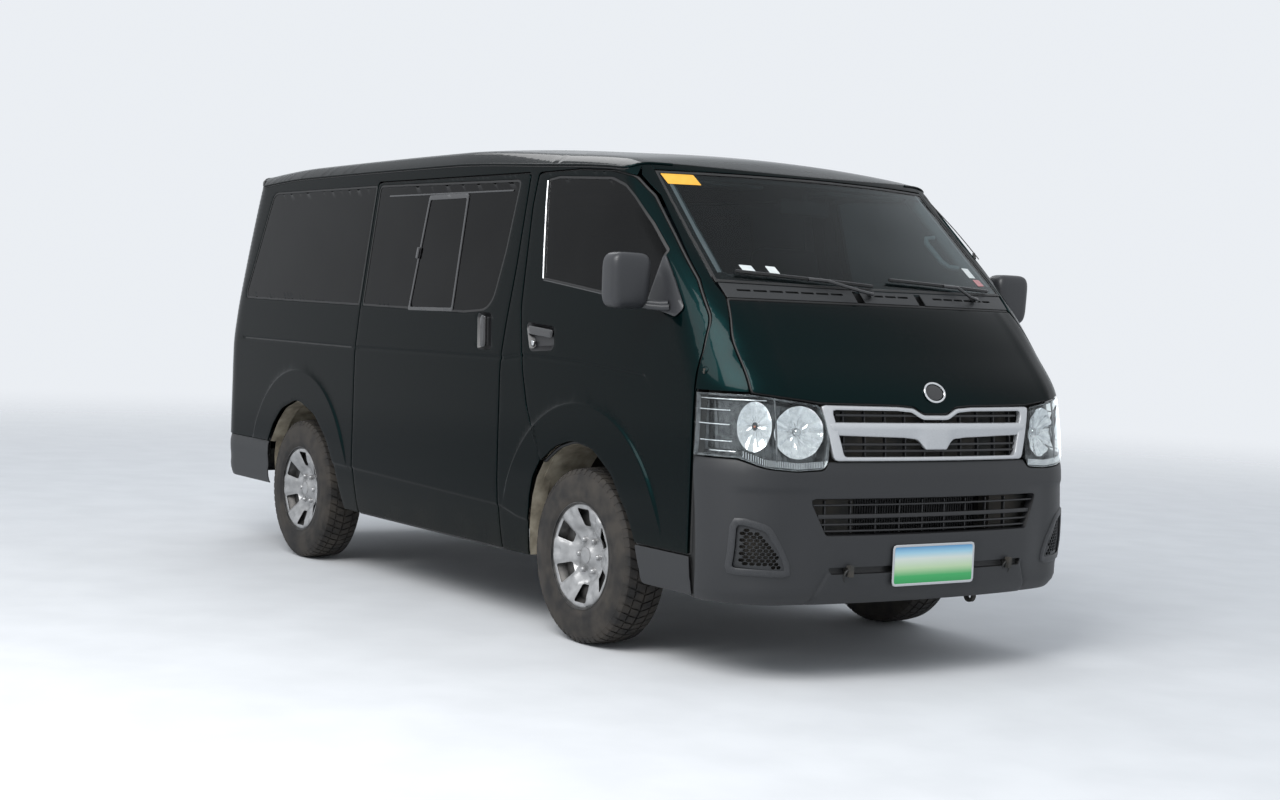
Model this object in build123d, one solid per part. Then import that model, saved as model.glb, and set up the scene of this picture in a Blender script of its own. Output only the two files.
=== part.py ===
from build123d import *
import math
import os

# A long one-box passenger van, left-hand drive, sliding door on its right side.
# Frame: millimetres, +X forward, +Y to the van's left, +Z up, origin on the ground below the middle.

# Driving dimensions of the whole van
LENGTH = 4695.0
WHEELBASE = 2570.0
FRONT_OVERHANG = 1075.0
NOSE_X = LENGTH / 2
TAIL_X = -LENGTH / 2
FRONT_AXLE_X = NOSE_X - FRONT_OVERHANG
REAR_AXLE_X = FRONT_AXLE_X - WHEELBASE
WALL = 48.0
SKIN = 26.0
SEAT_GAP = 0.3
SHUT_GAP = 6.0

# Wheels and tyres
TYRE_RADIUS = 338.0
TYRE_WIDTH = 195.0
RIM_RADIUS = 190.0
RIM_WALL = 7.0
COVER_RADIUS = 206.0
FRONT_TRACK = 1470.0
REAR_TRACK = 1464.0
SPINDLE_RADIUS = 22.0
BEARING_GAP = 0.3
NUT_COUNT = 6
NUT_CIRCLE = 66.0
WINDOW_COUNT = 6

# Floor, sills and underframe
SILL_Z = 292.0
BELT_Z = 1060.0
REAR_FLOOR_Z = 500.0
CAB_FLOOR_Z = 800.0
FOOTWELL_Z = 540.0
FLOOR_SHEET = 28.0
RAIL_Y = 395.0
RAIL_WIDTH = 68.0
RAIL_HEIGHT = 74.0
HOUSING_SHEET = 9.0

# Steering, doors and lids
KINGPIN_Y = 655.0
HINGE_PIN = 5.0
HINGE_EYE = 8.0
DOOR_HINGE_X = 2030.0
DOOR_HINGE_Y = 826.0
DOOR_HINGE_ZS = (600.0, 1085.0)
BONNET_HINGE = (1975.0, 1372.0)
GATE_HINGE = (-2184.0, 1886.0)
BONNET_EYE_YS = (-150.0, 150.0)
BONNET_EDGE = 12.0
GATE_EYE_YS = (-140.0, 140.0)

# Plan sections of the body, one row per height:
# z, front x, front bow radius, front corner radius, half width, rear x, rear bow radius, rear corner radius
PLAN_ROWS = [
    (240, NOSE_X - 58, 3600, 240, 812, TAIL_X + 58, 6000, 190),
    (330, NOSE_X - 15, 3600, 250, 835, TAIL_X + 10, 6000, 210),
    (480, NOSE_X, 3600, 250, 846, TAIL_X, 6000, 220),
    (800, NOSE_X - 10, 3500, 270, 847.5, TAIL_X + 18, 6000, 200),
    (1000, NOSE_X - 35, 3500, 290, 847, TAIL_X + 26, 6000, 190),
    (1180, NOSE_X - 146, 2800, 270, 833, TAIL_X + 42, 6000, 180),
    (1340, NOSE_X - 276, 2300, 200, 813, TAIL_X + 60, 6000, 175),
    (1600, NOSE_X - 560, 2100, 100, 779, TAIL_X + 100, 6000, 165),
    (1850, NOSE_X - 833, 1950, 80, 746, TAIL_X + 153, 6000, 150),
    (2060, NOSE_X - 1058, 1900, 80, 719, TAIL_X + 198, 6000, 150),
]

# Cross sections of the roof, one row per station:
# x, crown z, drop of the crown at its shoulder, drop of the roof at its edge
ROOF_ROWS = [
    (TAIL_X - 150, 1918, 38, 108),
    (-1500, 1970, 38, 118),
    (0, 1980, 38, 125),
    (810, 1939, 36, 100),
    (1290, 1897, 30, 76),
    (1590, 1812, 20, 40),
    (2000, 1660, 20, 40),
    (NOSE_X + 150, 1480, 20, 40),
]
ROOF_SHOULDER_Y = 640.0
ROOF_EDGE_Y = 756.0

# Outlines seen from the right side: a row of two numbers is the x, z of a corner,
# a row of four is a point that an arc passes and the point where it ends
DOOR_OUTLINE = [(738, 1815), (1290, 1809), (1415, 1800, 1534, 1709), (1866, 1399), (1950, 1320, 1992, 1180),
                (2001, 1006), (2001, 437), (1600, 437), (1030, 645), (935, 825, 821, 1069),
                (768, 1180, 755, 1330)]
DOOR_WINDOW = [(832, 1787), (1270, 1784), (1400, 1762, 1480, 1696), (1715, 1505), (1642, 1300), (897, 1389)]
MIRROR_BASE = [(1716, 1499), (1882, 1293), (1839, 1262), (1642, 1300)]
SLIDING_OUTLINE = [(-690, 1822), (676, 1819), (674, 1440), (651, 1089), (660, 576), (690, 306), (-640, 306),
                   (-684, 508)]
SLIDING_GLASS = [(-676, 1806), (600, 1792), (560, 1450), (520, 1290, 300, 1243), (-676, 1252)]
QUARTER_GLASS = [(-1885, 1804), (-704, 1806), (-704, 1252), (-2059, 1260)]
LEFT_GLASS_FRONT = [(-690, 1806), (640, 1800), (612, 1250), (-690, 1252)]
FRONT_ARCH = [(900, 200), (900, 290), (905, 490, 1009, 677), (1240, 776, 1512, 670), (1645, 490, 1690, 290),
              (1690, 200)]
REAR_ARCH = [(-1655, 200), (-1655, 360), (-1640, 560, -1474, 723), (-1285, 780, -1088, 708),
             (-895, 500, -835, 290), (-835, 200)]
ROOF_LINE = [(TAIL_X - 50, 1852), (900, 1850), (1290, 1830), (1440, 1812), (NOSE_X, 1812)]

# Outlines seen from the front or the back: the numbers are y, z
SCREEN_OUTLINE = [(-699, 1396), (0, 1388, 699, 1396), (660, 1809), (0, 1813, -660, 1809)]
BONNET_OUTLINE = [(-690, 1334), (0, 1334), (690, 1334), (735, 1200, 742, 1016), (500, 988), (180, 984),
                  (90, 975, 60, 956), (0, 952, -60, 956), (-90, 975, -180, 984), (-500, 988), (-742, 1016),
                  (-735, 1200, -690, 1334)]
GRILLE_OUTLINE = [(-503, 982), (-180, 978), (-90, 968, -60, 950), (0, 946, 60, 950), (90, 968, 180, 978),
                  (503, 982), (452, 787), (-452, 787)]
LAMP_OUTLINE = [(900, 1010), (742, 1010), (509, 980), (470, 880, 476, 787), (500, 756, 600, 752),
                (720, 762, 780, 790), (900, 790)]
GATE_OUTLINE = [(-640, 556), (640, 556), (668, 700, 664, 900), (640, 1250), (596, 1790),
                (570, 1872, 480, 1879), (-480, 1879), (-570, 1872, -596, 1790), (-640, 1250),
                (-664, 900), (-668, 700, -640, 556)]
GATE_GLASS = [(-610, 1270), (610, 1270), (568, 1770), (545, 1822, 480, 1826), (-480, 1826),
              (-545, 1822, -568, 1770)]
TAIL_LAMP_OUTLINE = [(672, 760), (900, 760), (900, 1250), (648, 1250)]
TAIL_LAMP_X = -2196.0
REAR_BUMPER_TOP = 546.0
REAR_BUMPER_LOW = 330.0
BUMPER_TOP = 776.0
BUMPER_LOW = 283.0
BUMPER_EDGE_X = 2007.5
STEP_TOP_Z = 431.0

# Towing lugs that stand out of the front bumper, and the number plate's two bolts
LUG_Y = 383.0
LUG_TIP_X = NOSE_X - 2.5
LUG_Z = 404.0
LUG_THICK = 16.0
LUG_HEIGHT = 40.0
LUG_BORE = 12.0

# Plain towing eyes below each bumper, on the left rail: x, z of the bore
LOW_EYES = [(2130.0, 252.0), (-2190.0, 300.0)]
LOW_EYE_BORE = 14.0
PLATE_BOLT_Y = 105.0
PLATE_BOLT_Z = 450.0
PLATE_BOLT_HOLE = 3.5

# Height bands of the front intake and its bars in the bumper
INTAKE_TOP = 656.0
INTAKE_LOW = 528.0
INTAKE_TOP_Y = 548.0
INTAKE_LOW_Y = 480.0


def wire_loop(rows, place):
    """A closed wire through an outline's rows; place turns two numbers into a point."""
    start = rows[0][-2:]
    here = start
    edges = []
    for row in rows[1:] + [rows[0][-2:]]:
        end = row[-2:]
        if len(row) == 4:
            edges.append(ThreePointArc(place(*here), place(*row[:2]), place(*end)))
        elif math.dist(here, end) > 0.01:
            edges.append(Line(place(*here), place(*end)))
        here = end
    return Wire(edges)


def arc_centre(a, m, b):
    """The centre of the circle through three points."""
    ax, ay = a
    mx, my = m[0] - ax, m[1] - ay
    bx, by = b[0] - ax, b[1] - ay
    twice = 2 * (mx * by - my * bx)
    m2 = mx * mx + my * my
    b2 = bx * bx + by * by
    return ax + (by * m2 - my * b2) / twice, ay + (mx * b2 - bx * m2) / twice


def grown(rows, amount):
    """An outline moved outward all round by an amount, or inward by a negative one."""
    spans = []
    here = rows[0][-2:]
    for row in rows[1:] + [rows[0][-2:]]:
        end = row[-2:]
        if math.dist(here, end) < 0.01:
            continue
        through = row[:2] if len(row) == 4 else None
        spans.append((here, through, end))
        here = end
    corners = [span[0] for span in spans]
    area = sum(a[0] * b[1] - b[0] * a[1] for a, b in zip(corners, corners[1:] + corners[:1]))
    hand = 1 if area > 0 else -1

    def outward(span, point):
        start, through, end = span
        along = (end[0] - start[0], end[1] - start[1])
        if through is not None:
            cx, cy = arc_centre(start, through, end)
            along_arc = (-(point[1] - cy), point[0] - cx)
            sign = along_arc[0] * along[0] + along_arc[1] * along[1]
            along = along_arc if sign > 0 else (-along_arc[0], -along_arc[1])
        size = math.hypot(*along)
        return hand * along[1] / size, -hand * along[0] / size

    moved = []
    for before, span in zip(spans[-1:] + spans[:-1], spans):
        n1 = outward(before, span[0])
        n2 = outward(span, span[0])
        share = amount / max(1 + n1[0] * n2[0] + n1[1] * n2[1], 0.3)
        moved.append((span[0][0] + (n1[0] + n2[0]) * share, span[0][1] + (n1[1] + n2[1]) * share))
    result = [moved[0]]
    for span, end in zip(spans, moved[1:] + moved[:1]):
        if span[1] is None:
            result.append(end)
        else:
            n = outward(span, span[1])
            result.append((span[1][0] + n[0] * amount, span[1][1] + n[1] * amount, *end))
    return result


def side_block(rows, y_from, y_to, grow=0.0):
    """A side outline pushed through the body from one y to another, grown or shrunk all round."""
    rows = grown(rows, grow) if grow else rows
    face = Face(wire_loop(rows, lambda x, z: (x, 0, z)))
    block = Solid.extrude(face, Vector(0, y_to - y_from, 0))
    return block.moved(Location((0, y_from, 0)))


def front_block(rows, x_from, x_to, grow=0.0):
    """A front outline pushed through the body from one x to another, grown or shrunk all round."""
    rows = grown(rows, grow) if grow else rows
    face = Face(wire_loop(rows, lambda y, z: (0, y, z)))
    block = Solid.extrude(face, Vector(x_to - x_from, 0, 0))
    return block.moved(Location((x_from, 0, 0)))


def brick(x0, x1, y0, y1, z0, z1):
    """A block between two corners."""
    size = Solid.make_box(x1 - x0, y1 - y0, z1 - z0)
    return size.moved(Location((x0, y0, z0)))


def rod(start, end, radius):
    """A round bar between two points."""
    way = Vector(*end) - Vector(*start)
    return Solid.make_cylinder(radius, way.length, Plane(origin=start, z_dir=way))


def pack(result):
    """One shape from what a cut, a fusion or an intersection leaves."""
    solids = result.solids() if hasattr(result, "solids") else [s for r in result for s in r.solids()]
    return solids[0] if len(solids) == 1 else Compound(list(solids))


def common(first, second):
    """What two shapes share."""
    return pack(first.intersect(second))


def less(first, *others):
    """A shape with others cut away."""
    return pack(first.cut(*others))


def join(*shapes):
    """One shape from many."""
    return pack(shapes[0].fuse(*shapes[1:])) if len(shapes) > 1 else shapes[0]


def mirror_side(shape):
    """The same shape on the other side of the van."""
    return shape.mirror(Plane.XZ)


def plan_wire(row, inset):
    """One closed plan section: bowed front and rear, round corners, straight sides."""
    z, front, bow, corner, half, rear, rear_bow, rear_corner = row
    front = front - inset * 1.15
    rear = rear + inset
    half = half - inset
    bow = bow - inset
    corner = max(corner - inset, 25.0)
    rear_bow = rear_bow - inset
    rear_corner = max(rear_corner - inset, 25.0)
    ends = []
    for nose, radius, small, sign in ((front, bow, corner, 1), (rear, rear_bow, rear_corner, -1)):
        middle = nose - sign * radius
        reach = math.sqrt((radius - small) ** 2 - (half - small) ** 2)
        centre = (middle + sign * reach, half - small)
        turn = math.atan2(half - small, reach)
        blend = (middle + sign * radius * math.cos(turn), radius * math.sin(turn))
        bend = (turn + math.pi / 2) / 2
        through = (centre[0] + sign * small * math.cos(bend), centre[1] + small * math.sin(bend))
        ends.append((nose, centre[0], blend, through))
    (fx, fc, fb, ft), (rx, rc, rb, rt) = ends
    edges = [
        ThreePointArc((fb[0], -fb[1], z), (fx, 0, z), (fb[0], fb[1], z)),
        ThreePointArc((fb[0], fb[1], z), (ft[0], ft[1], z), (fc, half, z)),
        Line((fc, half, z), (rc, half, z)),
        ThreePointArc((rc, half, z), (rt[0], rt[1], z), (rb[0], rb[1], z)),
        ThreePointArc((rb[0], rb[1], z), (rx, 0, z), (rb[0], -rb[1], z)),
        ThreePointArc((rb[0], -rb[1], z), (rt[0], -rt[1], z), (rc, -half, z)),
        Line((rc, -half, z), (fc, -half, z)),
        ThreePointArc((fc, -half, z), (ft[0], -ft[1], z), (fb[0], -fb[1], z)),
    ]
    return Wire(edges)


def roof_wire(row, inset):
    """One roof section: crown arc, shoulder arcs and straight sides down into the body."""
    x, crown, drop, total = row
    shoulder = ROOF_SHOULDER_Y - inset
    edge = ROOF_EDGE_Y - inset
    z0 = crown - inset
    z1 = z0 - drop
    z2 = z0 - total
    y_mid = shoulder + (edge - shoulder) * 0.72
    z_mid = z1 - (z1 - z2) * 0.30
    edges = [
        ThreePointArc((x, -shoulder, z1), (x, 0, z0), (x, shoulder, z1)),
        ThreePointArc((x, shoulder, z1), (x, y_mid, z_mid), (x, edge, z2)),
        Line((x, edge, z2), (x, ROOF_EDGE_Y + 200, z2 - 200)),
        Line((x, ROOF_EDGE_Y + 200, z2 - 200), (x, ROOF_EDGE_Y + 200, 100)),
        Line((x, ROOF_EDGE_Y + 200, 100), (x, -ROOF_EDGE_Y - 200, 100)),
        Line((x, -ROOF_EDGE_Y - 200, 100), (x, -ROOF_EDGE_Y - 200, z2 - 200)),
        Line((x, -ROOF_EDGE_Y - 200, z2 - 200), (x, -edge, z2)),
        ThreePointArc((x, -edge, z2), (x, -y_mid, z_mid), (x, -shoulder, z1)),
    ]
    return Wire(edges)


KEPT_SKINS = {}


def body(inset):
    """The whole body as one closed form, drawn in from its skin by inset."""
    if inset not in KEPT_SKINS:
        sides = Solid.make_loft([plan_wire(row, inset) for row in PLAN_ROWS], True)
        roof = Solid.make_loft([roof_wire(row, inset) for row in ROOF_ROWS], True)
        KEPT_SKINS[inset] = common(sides, roof)
    return KEPT_SKINS[inset]


KEPT_SHEETS = {}


def layer(outer, inner, zone):
    """The sheet of the body between two depths, within a zone."""
    if (outer, inner) not in KEPT_SHEETS:
        KEPT_SHEETS[outer, inner] = less(body(outer), body(inner).cut(brick(-3000, 3000, -2000, 2000, 0, 239)))
    return common(zone, KEPT_SHEETS[outer, inner])


NODES = {}


def both_sides(make, *args):
    """A right-hand shape and its mirror image."""
    right = make(*args)
    return right, mirror_side(right)


# The shut lines and openings that several panels share
OPEN_GAP = SHUT_GAP / 2
RIGHT = (-1100.0, -560.0)
RIGHT_DOOR = (-1100.0, -700.0)
DOOR_HOLE = side_block(DOOR_OUTLINE, RIGHT_DOOR[0], RIGHT_DOOR[1] + OPEN_GAP, OPEN_GAP)
DOOR_BLOCK = side_block(DOOR_OUTLINE, *RIGHT_DOOR, -OPEN_GAP)
SLIDING_HOLE = side_block(SLIDING_OUTLINE, *RIGHT, OPEN_GAP)
SLIDING_BLOCK = side_block(SLIDING_OUTLINE, *RIGHT, -OPEN_GAP)
FRONT_ARCH_HOLE = side_block(FRONT_ARCH, *RIGHT)
REAR_ARCH_HOLE = side_block(REAR_ARCH, *RIGHT)
UNDER_ROOF = side_block(ROOF_LINE + [(NOSE_X, SILL_Z), (TAIL_X - 50, SILL_Z)], -1100, 1100, -SEAT_GAP / 2)
SCREEN_HOLE = common(front_block(SCREEN_OUTLINE, 1200, NOSE_X), brick(1200, NOSE_X, -900, 900, 1300, 1900))
BONNET_HOLE = front_block(BONNET_OUTLINE, 1700, NOSE_X + 50, OPEN_GAP)
GATE_HOLE = front_block(GATE_OUTLINE, TAIL_X - 50, -1900, OPEN_GAP)
NOSE_LOW = brick(BUMPER_EDGE_X - SHUT_GAP, NOSE_X + 50, -1100, 1100, 0, 1016)
TAIL_LOW = brick(TAIL_X - 50, -1560, -1100, 1100, 0, REAR_BUMPER_TOP + SEAT_GAP)
COWL_HOLE = brick(1750, NOSE_X, -694, 694, 1300, 1400)
ROCKER_HOLE = brick(1600, NOSE_X, -1100, -560, 0, 437)


def hinge_pockets():
    """Room round the front door hinges in the wing and the bumper, on the right."""
    pockets = []
    for z in DOOR_HINGE_ZS:
        pockets.append(brick(DOOR_HINGE_X - 50, DOOR_HINGE_X + HINGE_EYE + 6, -1000, -740, z - 20, z + 14))
    return join(*pockets)


def door_hinge_eyes():
    """Two hinge arms with eyes that stand out of a right front door's leading edge."""
    eyes = []
    for z in DOOR_HINGE_ZS:
        arm = brick(DOOR_HINGE_X - 44, DOOR_HINGE_X, -DOOR_HINGE_Y - 6, -DOOR_HINGE_Y + 6, z - 4, z + 4)
        ring = rod((DOOR_HINGE_X, -DOOR_HINGE_Y, z - 4), (DOOR_HINGE_X, -DOOR_HINGE_Y, z + 4), HINGE_EYE)
        hole = rod((DOOR_HINGE_X, -DOOR_HINGE_Y, z - 9), (DOOR_HINGE_X, -DOOR_HINGE_Y, z + 9),
                   HINGE_PIN + BEARING_GAP)
        eyes.append(less(join(arm, ring), hole))
    return eyes


def door_hinge_pins():
    """Two brackets with upright pins on the post behind the wing, on the right."""
    pins = []
    for z in DOOR_HINGE_ZS:
        foot = z - 4 - BEARING_GAP
        bracket = brick(DOOR_HINGE_X - 6, DOOR_HINGE_X + 6, -DOOR_HINGE_Y - 6, -DOOR_HINGE_Y + 60,
                        foot - 8, foot)
        pin = rod((DOOR_HINGE_X, -DOOR_HINGE_Y, foot - 4), (DOOR_HINGE_X, -DOOR_HINGE_Y, z + 6), HINGE_PIN)
        pins.append(join(bracket, pin))
    return pins


def side_wall(windows, has_sliding_door):
    """One whole body side on the right: pillars, quarter panel, wing and the rail over the doors."""
    zone = common(brick(TAIL_X - 50, NOSE_X, -1100, 0, SILL_Z, 1900), UNDER_ROOF)
    sheet = layer(0, WALL, zone)
    holes = [DOOR_HOLE, FRONT_ARCH_HOLE, REAR_ARCH_HOLE, SCREEN_HOLE, BONNET_HOLE, GATE_HOLE, NOSE_LOW,
             TAIL_LOW, COWL_HOLE, ROCKER_HOLE]
    holes.append(front_block(TAIL_LAMP_OUTLINE, TAIL_X - 50, TAIL_LAMP_X + SEAT_GAP, SEAT_GAP).mirror(Plane.XZ))
    holes += [side_block(rows, *RIGHT) for rows in windows]
    if has_sliding_door:
        holes.append(SLIDING_HOLE)
    wall = less(sheet, *holes, hinge_pockets())
    keep = [solid for solid in wall.solids() if solid.volume > 2.0e5]
    if has_sliding_door:
        sill = layer(WALL + SEAT_GAP, 2 * WALL, brick(-800, 860, -1000, -600, SILL_Z + 8, 440))
        sill = less(sill, FRONT_ARCH_HOLE, REAR_ARCH_HOLE)
        keep += list(sill.solids())
    return Compound(keep)


right_wall = side_wall([QUARTER_GLASS], True)
left_wall = mirror_side(side_wall([QUARTER_GLASS, LEFT_GLASS_FRONT], False))
NODES["side_wall_right"] = right_wall
NODES["side_wall_left"] = left_wall


def front_door():
    """A right front door: the panel with its window opening and hinge eyes."""
    panel = less(layer(0, WALL, DOOR_BLOCK), side_block(DOOR_WINDOW, *RIGHT), FRONT_ARCH_HOLE)
    return join(max(panel.solids(), key=lambda solid: solid.volume), *door_hinge_eyes())


for side, shape in zip(("right", "left"), both_sides(front_door)):
    NODES["door_front_" + side] = shape

GLASS_DEPTHS = (4.0, 9.0)


def pane(rows):
    """A curved pane that fills a right side window opening."""
    return layer(*GLASS_DEPTHS, side_block(rows, *RIGHT, -SEAT_GAP))


for side, shape in zip(("right", "left"), both_sides(pane, DOOR_WINDOW)):
    NODES["door_glass_" + side] = shape

sliding_panel = less(layer(0, WALL, SLIDING_BLOCK), side_block(SLIDING_GLASS, *RIGHT))
NODES["sliding_door"] = max(sliding_panel.solids(), key=lambda solid: solid.volume)
NODES["sliding_door_glass"] = pane(SLIDING_GLASS)
NODES["side_glass"] = Compound([pane(QUARTER_GLASS)] + [mirror_side(pane(rows)) for rows in
                                                       (QUARTER_GLASS, LEFT_GLASS_FRONT)])
NODES["windscreen"] = layer(*GLASS_DEPTHS, common(front_block(SCREEN_OUTLINE, 1200, NOSE_X, -SEAT_GAP),
                                             brick(1200, NOSE_X, -900, 900, 1300, 1900)))


# Roof, with pockets over the tailgate's two hinge eyes
def roof_panel():
    above = less(brick(TAIL_X - 50, NOSE_X, -1100, 1100, 1700, 2000), UNDER_ROOF)
    sheet = less(layer(0, WALL, above), GATE_HOLE, SCREEN_HOLE)
    sheet = max(sheet.solids(), key=lambda solid: solid.volume)
    gx, gz = GATE_HINGE
    for y in GATE_EYE_YS:
        sheet = less(sheet, brick(gx - 40, gx + 36, y - 16, y + 16, gz - 20, gz + HINGE_EYE + 3))
        sheet = join(sheet, rod((gx, y - 24, gz), (gx, y + 24, gz), HINGE_PIN))
    return sheet


NODES["roof_panel"] = roof_panel()


def lid_eyes(axis, eye_ys, tip, half_width, half_height):
    """Hinge eyes of a lid, each on a straight arm that runs from its axis to a tip inside the lid."""
    ax, az = axis
    reach = math.dist(axis, tip)
    along = ((tip[0] - ax) / reach, (tip[1] - az) / reach)
    across = (-along[1] * half_height, along[0] * half_height)
    rows = [(ax + across[0], az + across[1]), (tip[0] + across[0], tip[1] + across[1]),
            (tip[0] - across[0], tip[1] - across[1]), (ax - across[0], az - across[1])]
    eyes = []
    for y in eye_ys:
        ring = rod((ax, y - half_width, az), (ax, y + half_width, az), HINGE_EYE)
        arm = side_block(rows, y - half_width, y + half_width)
        hole = rod((ax, y - 30, az), (ax, y + 30, az), HINGE_PIN + BEARING_GAP)
        eyes.append(less(join(ring, arm), hole))
    return eyes


# Tailgate and its pane
gate_zone = front_block(GATE_OUTLINE, TAIL_X - 50, -1900, -OPEN_GAP)
gate_panel = less(layer(0, WALL, gate_zone), front_block(GATE_GLASS, TAIL_X - 50, -1900))
gate_panel = max(gate_panel.solids(), key=lambda solid: solid.volume)
NODES["tailgate"] = join(gate_panel, *lid_eyes(GATE_HINGE, GATE_EYE_YS, (GATE_HINGE[0] + 18, GATE_HINGE[1] - 20), 10, 5))
NODES["tailgate_glass"] = layer(*GLASS_DEPTHS, front_block(GATE_GLASS, TAIL_X - 50, -1900, -SEAT_GAP))

# Bonnet: the steep panel between the windscreen and the lamps
bonnet_zone = front_block(BONNET_OUTLINE, 1700, NOSE_X + 50, -OPEN_GAP)
door_edge = side_block(DOOR_OUTLINE, RIGHT_DOOR[0], RIGHT_DOOR[1] + SHUT_GAP, SHUT_GAP)
thin_edge = common(body(BONNET_EDGE), brick(1700, NOSE_X, -900, 900, 1262, 1400))
bonnet_panel = less(layer(0, SKIN, bonnet_zone), door_edge, mirror_side(door_edge), thin_edge)
bonnet_panel = max(bonnet_panel.solids(), key=lambda solid: solid.volume)
NODES["bonnet"] = join(bonnet_panel, *lid_eyes(BONNET_HINGE, BONNET_EYE_YS, (2093, 1291), 10, 4))


# Cowl: the dark strip under the windscreen, with hinge pins and two wipers
def cowl_and_wipers():
    zone = brick(1800, NOSE_X, -692, 692, 1341.5, 1396)
    screen = side_block([(1700, 1386), (NOSE_X, 1386), (NOSE_X, 1420), (1700, 1420)], -692, 692)
    zone = less(zone, common(front_block(SCREEN_OUTLINE, 1200, NOSE_X), screen))
    strip = layer(7, WALL, zone)
    strip = max(strip.solids(), key=lambda solid: solid.volume)
    ax, az = BONNET_HINGE
    for y in BONNET_EYE_YS:
        lugs = [brick(ax - 8, 2015, y + offset - 3, y + offset + 3, az - 8, az + 8) for offset in (-22, 22)]
        lugs = [common(lug, body(7)) for lug in lugs]
        strip = less(strip, brick(ax - 26, NOSE_X, y - 16, y + 16, 1330, 1386))
        strip = join(strip, rod((ax, y - 24, az), (ax, y + 24, az), HINGE_PIN), *lugs)
    return strip


NODES["cowl"] = cowl_and_wipers()

# Headlamps, grille and bumpers
lamp_block = less(front_block(LAMP_OUTLINE, 1700, NOSE_X + 50), brick(0, BUMPER_EDGE_X, -1100, 1100, 0, 2000))
right_lamp = max(layer(0, WALL, mirror_side(lamp_block)).solids(), key=lambda solid: solid.volume)
NODES["headlamps"] = Compound([right_lamp, mirror_side(right_lamp)])

# Grille bars behind the frame, one row per bar: z at the middle, height
GRILLE_BARS = [(948, 9), (908, 7), (840, 7), (818, 7)]
GRILLE_POSTS_Y = [-400, -300, -200, -100, 0, 100, 200, 300, 400]
GRILLE_RING_HOLE = [(-455, 966), (-180, 966), (-90, 956, -62, 934), (0, 930, 62, 934), (90, 956, 180, 966),
                    (455, 966), (405, 800), (-405, 800)]
GRILLE_BAND = [(-470, 924), (470, 924), (452, 878), (150, 868), (80, 862, 52, 826), (-52, 826),
               (-80, 862, -150, 868), (-452, 878)]
FRONT_ZONE = (1900.0, NOSE_X + 50.0)
MESH_DEPTHS = (SKIN + 4 + SEAT_GAP, SKIN + 14.0)
LAMPS_HOLE = join(front_block(LAMP_OUTLINE, *FRONT_ZONE, 3), front_block(LAMP_OUTLINE, *FRONT_ZONE, 3).mirror(Plane.XZ))


def grille():
    """A frame ring with a broad middle band that drops to a point, thin bars and upright ribs behind it."""
    whole = less(front_block(GRILLE_OUTLINE, *FRONT_ZONE), LAMPS_HOLE)
    ring = less(whole, front_block(GRILLE_RING_HOLE, *FRONT_ZONE))
    face = layer(2, SKIN + 4, common(join(ring, front_block(GRILLE_BAND, *FRONT_ZONE)), whole))
    bars = [brick(*FRONT_ZONE, -440, 440, z - height / 2, z + height / 2) for z, height in GRILLE_BARS]
    posts = [brick(*FRONT_ZONE, y - 3, y + 3, 795, 952) for y in GRILLE_POSTS_Y]
    mesh = layer(*MESH_DEPTHS, common(join(*bars, *posts), whole))
    stays = [layer(SKIN, WALL, brick(*FRONT_ZONE, min(y, y + 33), max(y, y + 33), 868, 912)) for y in (-468, 435)]
    face = join(face, *stays)
    return Compound(list(face.solids()) + list(mesh.solids()))


NODES["grille"] = grille()


def lug_room(clear):
    """Room round both towing lugs, by how much it clears them."""
    side = LUG_THICK / 2 + clear
    height = LUG_HEIGHT / 2 + clear
    return [brick(2100, NOSE_X + 50, y - side, y + side, LUG_Z - height, LUG_Z + height) for y in (-LUG_Y, LUG_Y)]


def front_bumper():
    """The grained bumper with its intake and two fog recesses, and the bars and meshes behind them."""
    zone = less(brick(BUMPER_EDGE_X, NOSE_X + 50, -1000, 1000, BUMPER_LOW, 785), LAMPS_HOLE,
                front_block(GRILLE_OUTLINE, *FRONT_ZONE, 3))
    intake = front_block([(-INTAKE_TOP_Y, INTAKE_TOP), (INTAKE_TOP_Y, INTAKE_TOP), (INTAKE_LOW_Y, INTAKE_LOW),
                          (-INTAKE_LOW_Y, INTAKE_LOW)], *FRONT_ZONE)
    fogs = []
    for sign in (-1, 1):
        rows = [(sign * 790, 574), (sign * 706, 545), (sign * 640, 450, sign * 622, 400), (sign * 800, 408)]
        fogs.append(front_block(rows, *FRONT_ZONE))
    bolts = [rod((NOSE_X - 200, y, PLATE_BOLT_Z), (NOSE_X + 50, y, PLATE_BOLT_Z), PLATE_BOLT_HOLE)
             for y in (-PLATE_BOLT_Y, PLATE_BOLT_Y)]
    shell = less(layer(0, SKIN, less(zone, intake, *fogs)), hinge_pockets(), mirror_side(hinge_pockets()),
                 *bolts, *lug_room(6))
    shell = max(shell.solids(), key=lambda solid: solid.volume)
    bars = [brick(*FRONT_ZONE, -570, 570, z - half, z + half)
            for z, half in ((637, 6), (606, 12), (576, 5), (545, 6))]
    posts = [brick(*FRONT_ZONE, y - 4, y + 4, INTAKE_LOW - 12, INTAKE_TOP + 12) for y in range(-480, 481, 120)]
    mesh = layer(SKIN + SEAT_GAP, SKIN + 14, join(*bars, *posts, *fogs))
    return Compound([shell] + list(mesh.solids()))


NODES["bumper_front"] = front_bumper()


def rear_bumper():
    """The rear bumper: a skin that wraps from wheel arch to wheel arch."""
    zone = less(brick(TAIL_X - 50, -1560, -1100, 1100, REAR_BUMPER_LOW, REAR_BUMPER_TOP),
                REAR_ARCH_HOLE, mirror_side(REAR_ARCH_HOLE))
    return layer(0, SKIN, zone)


NODES["bumper_rear"] = rear_bumper()

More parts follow.
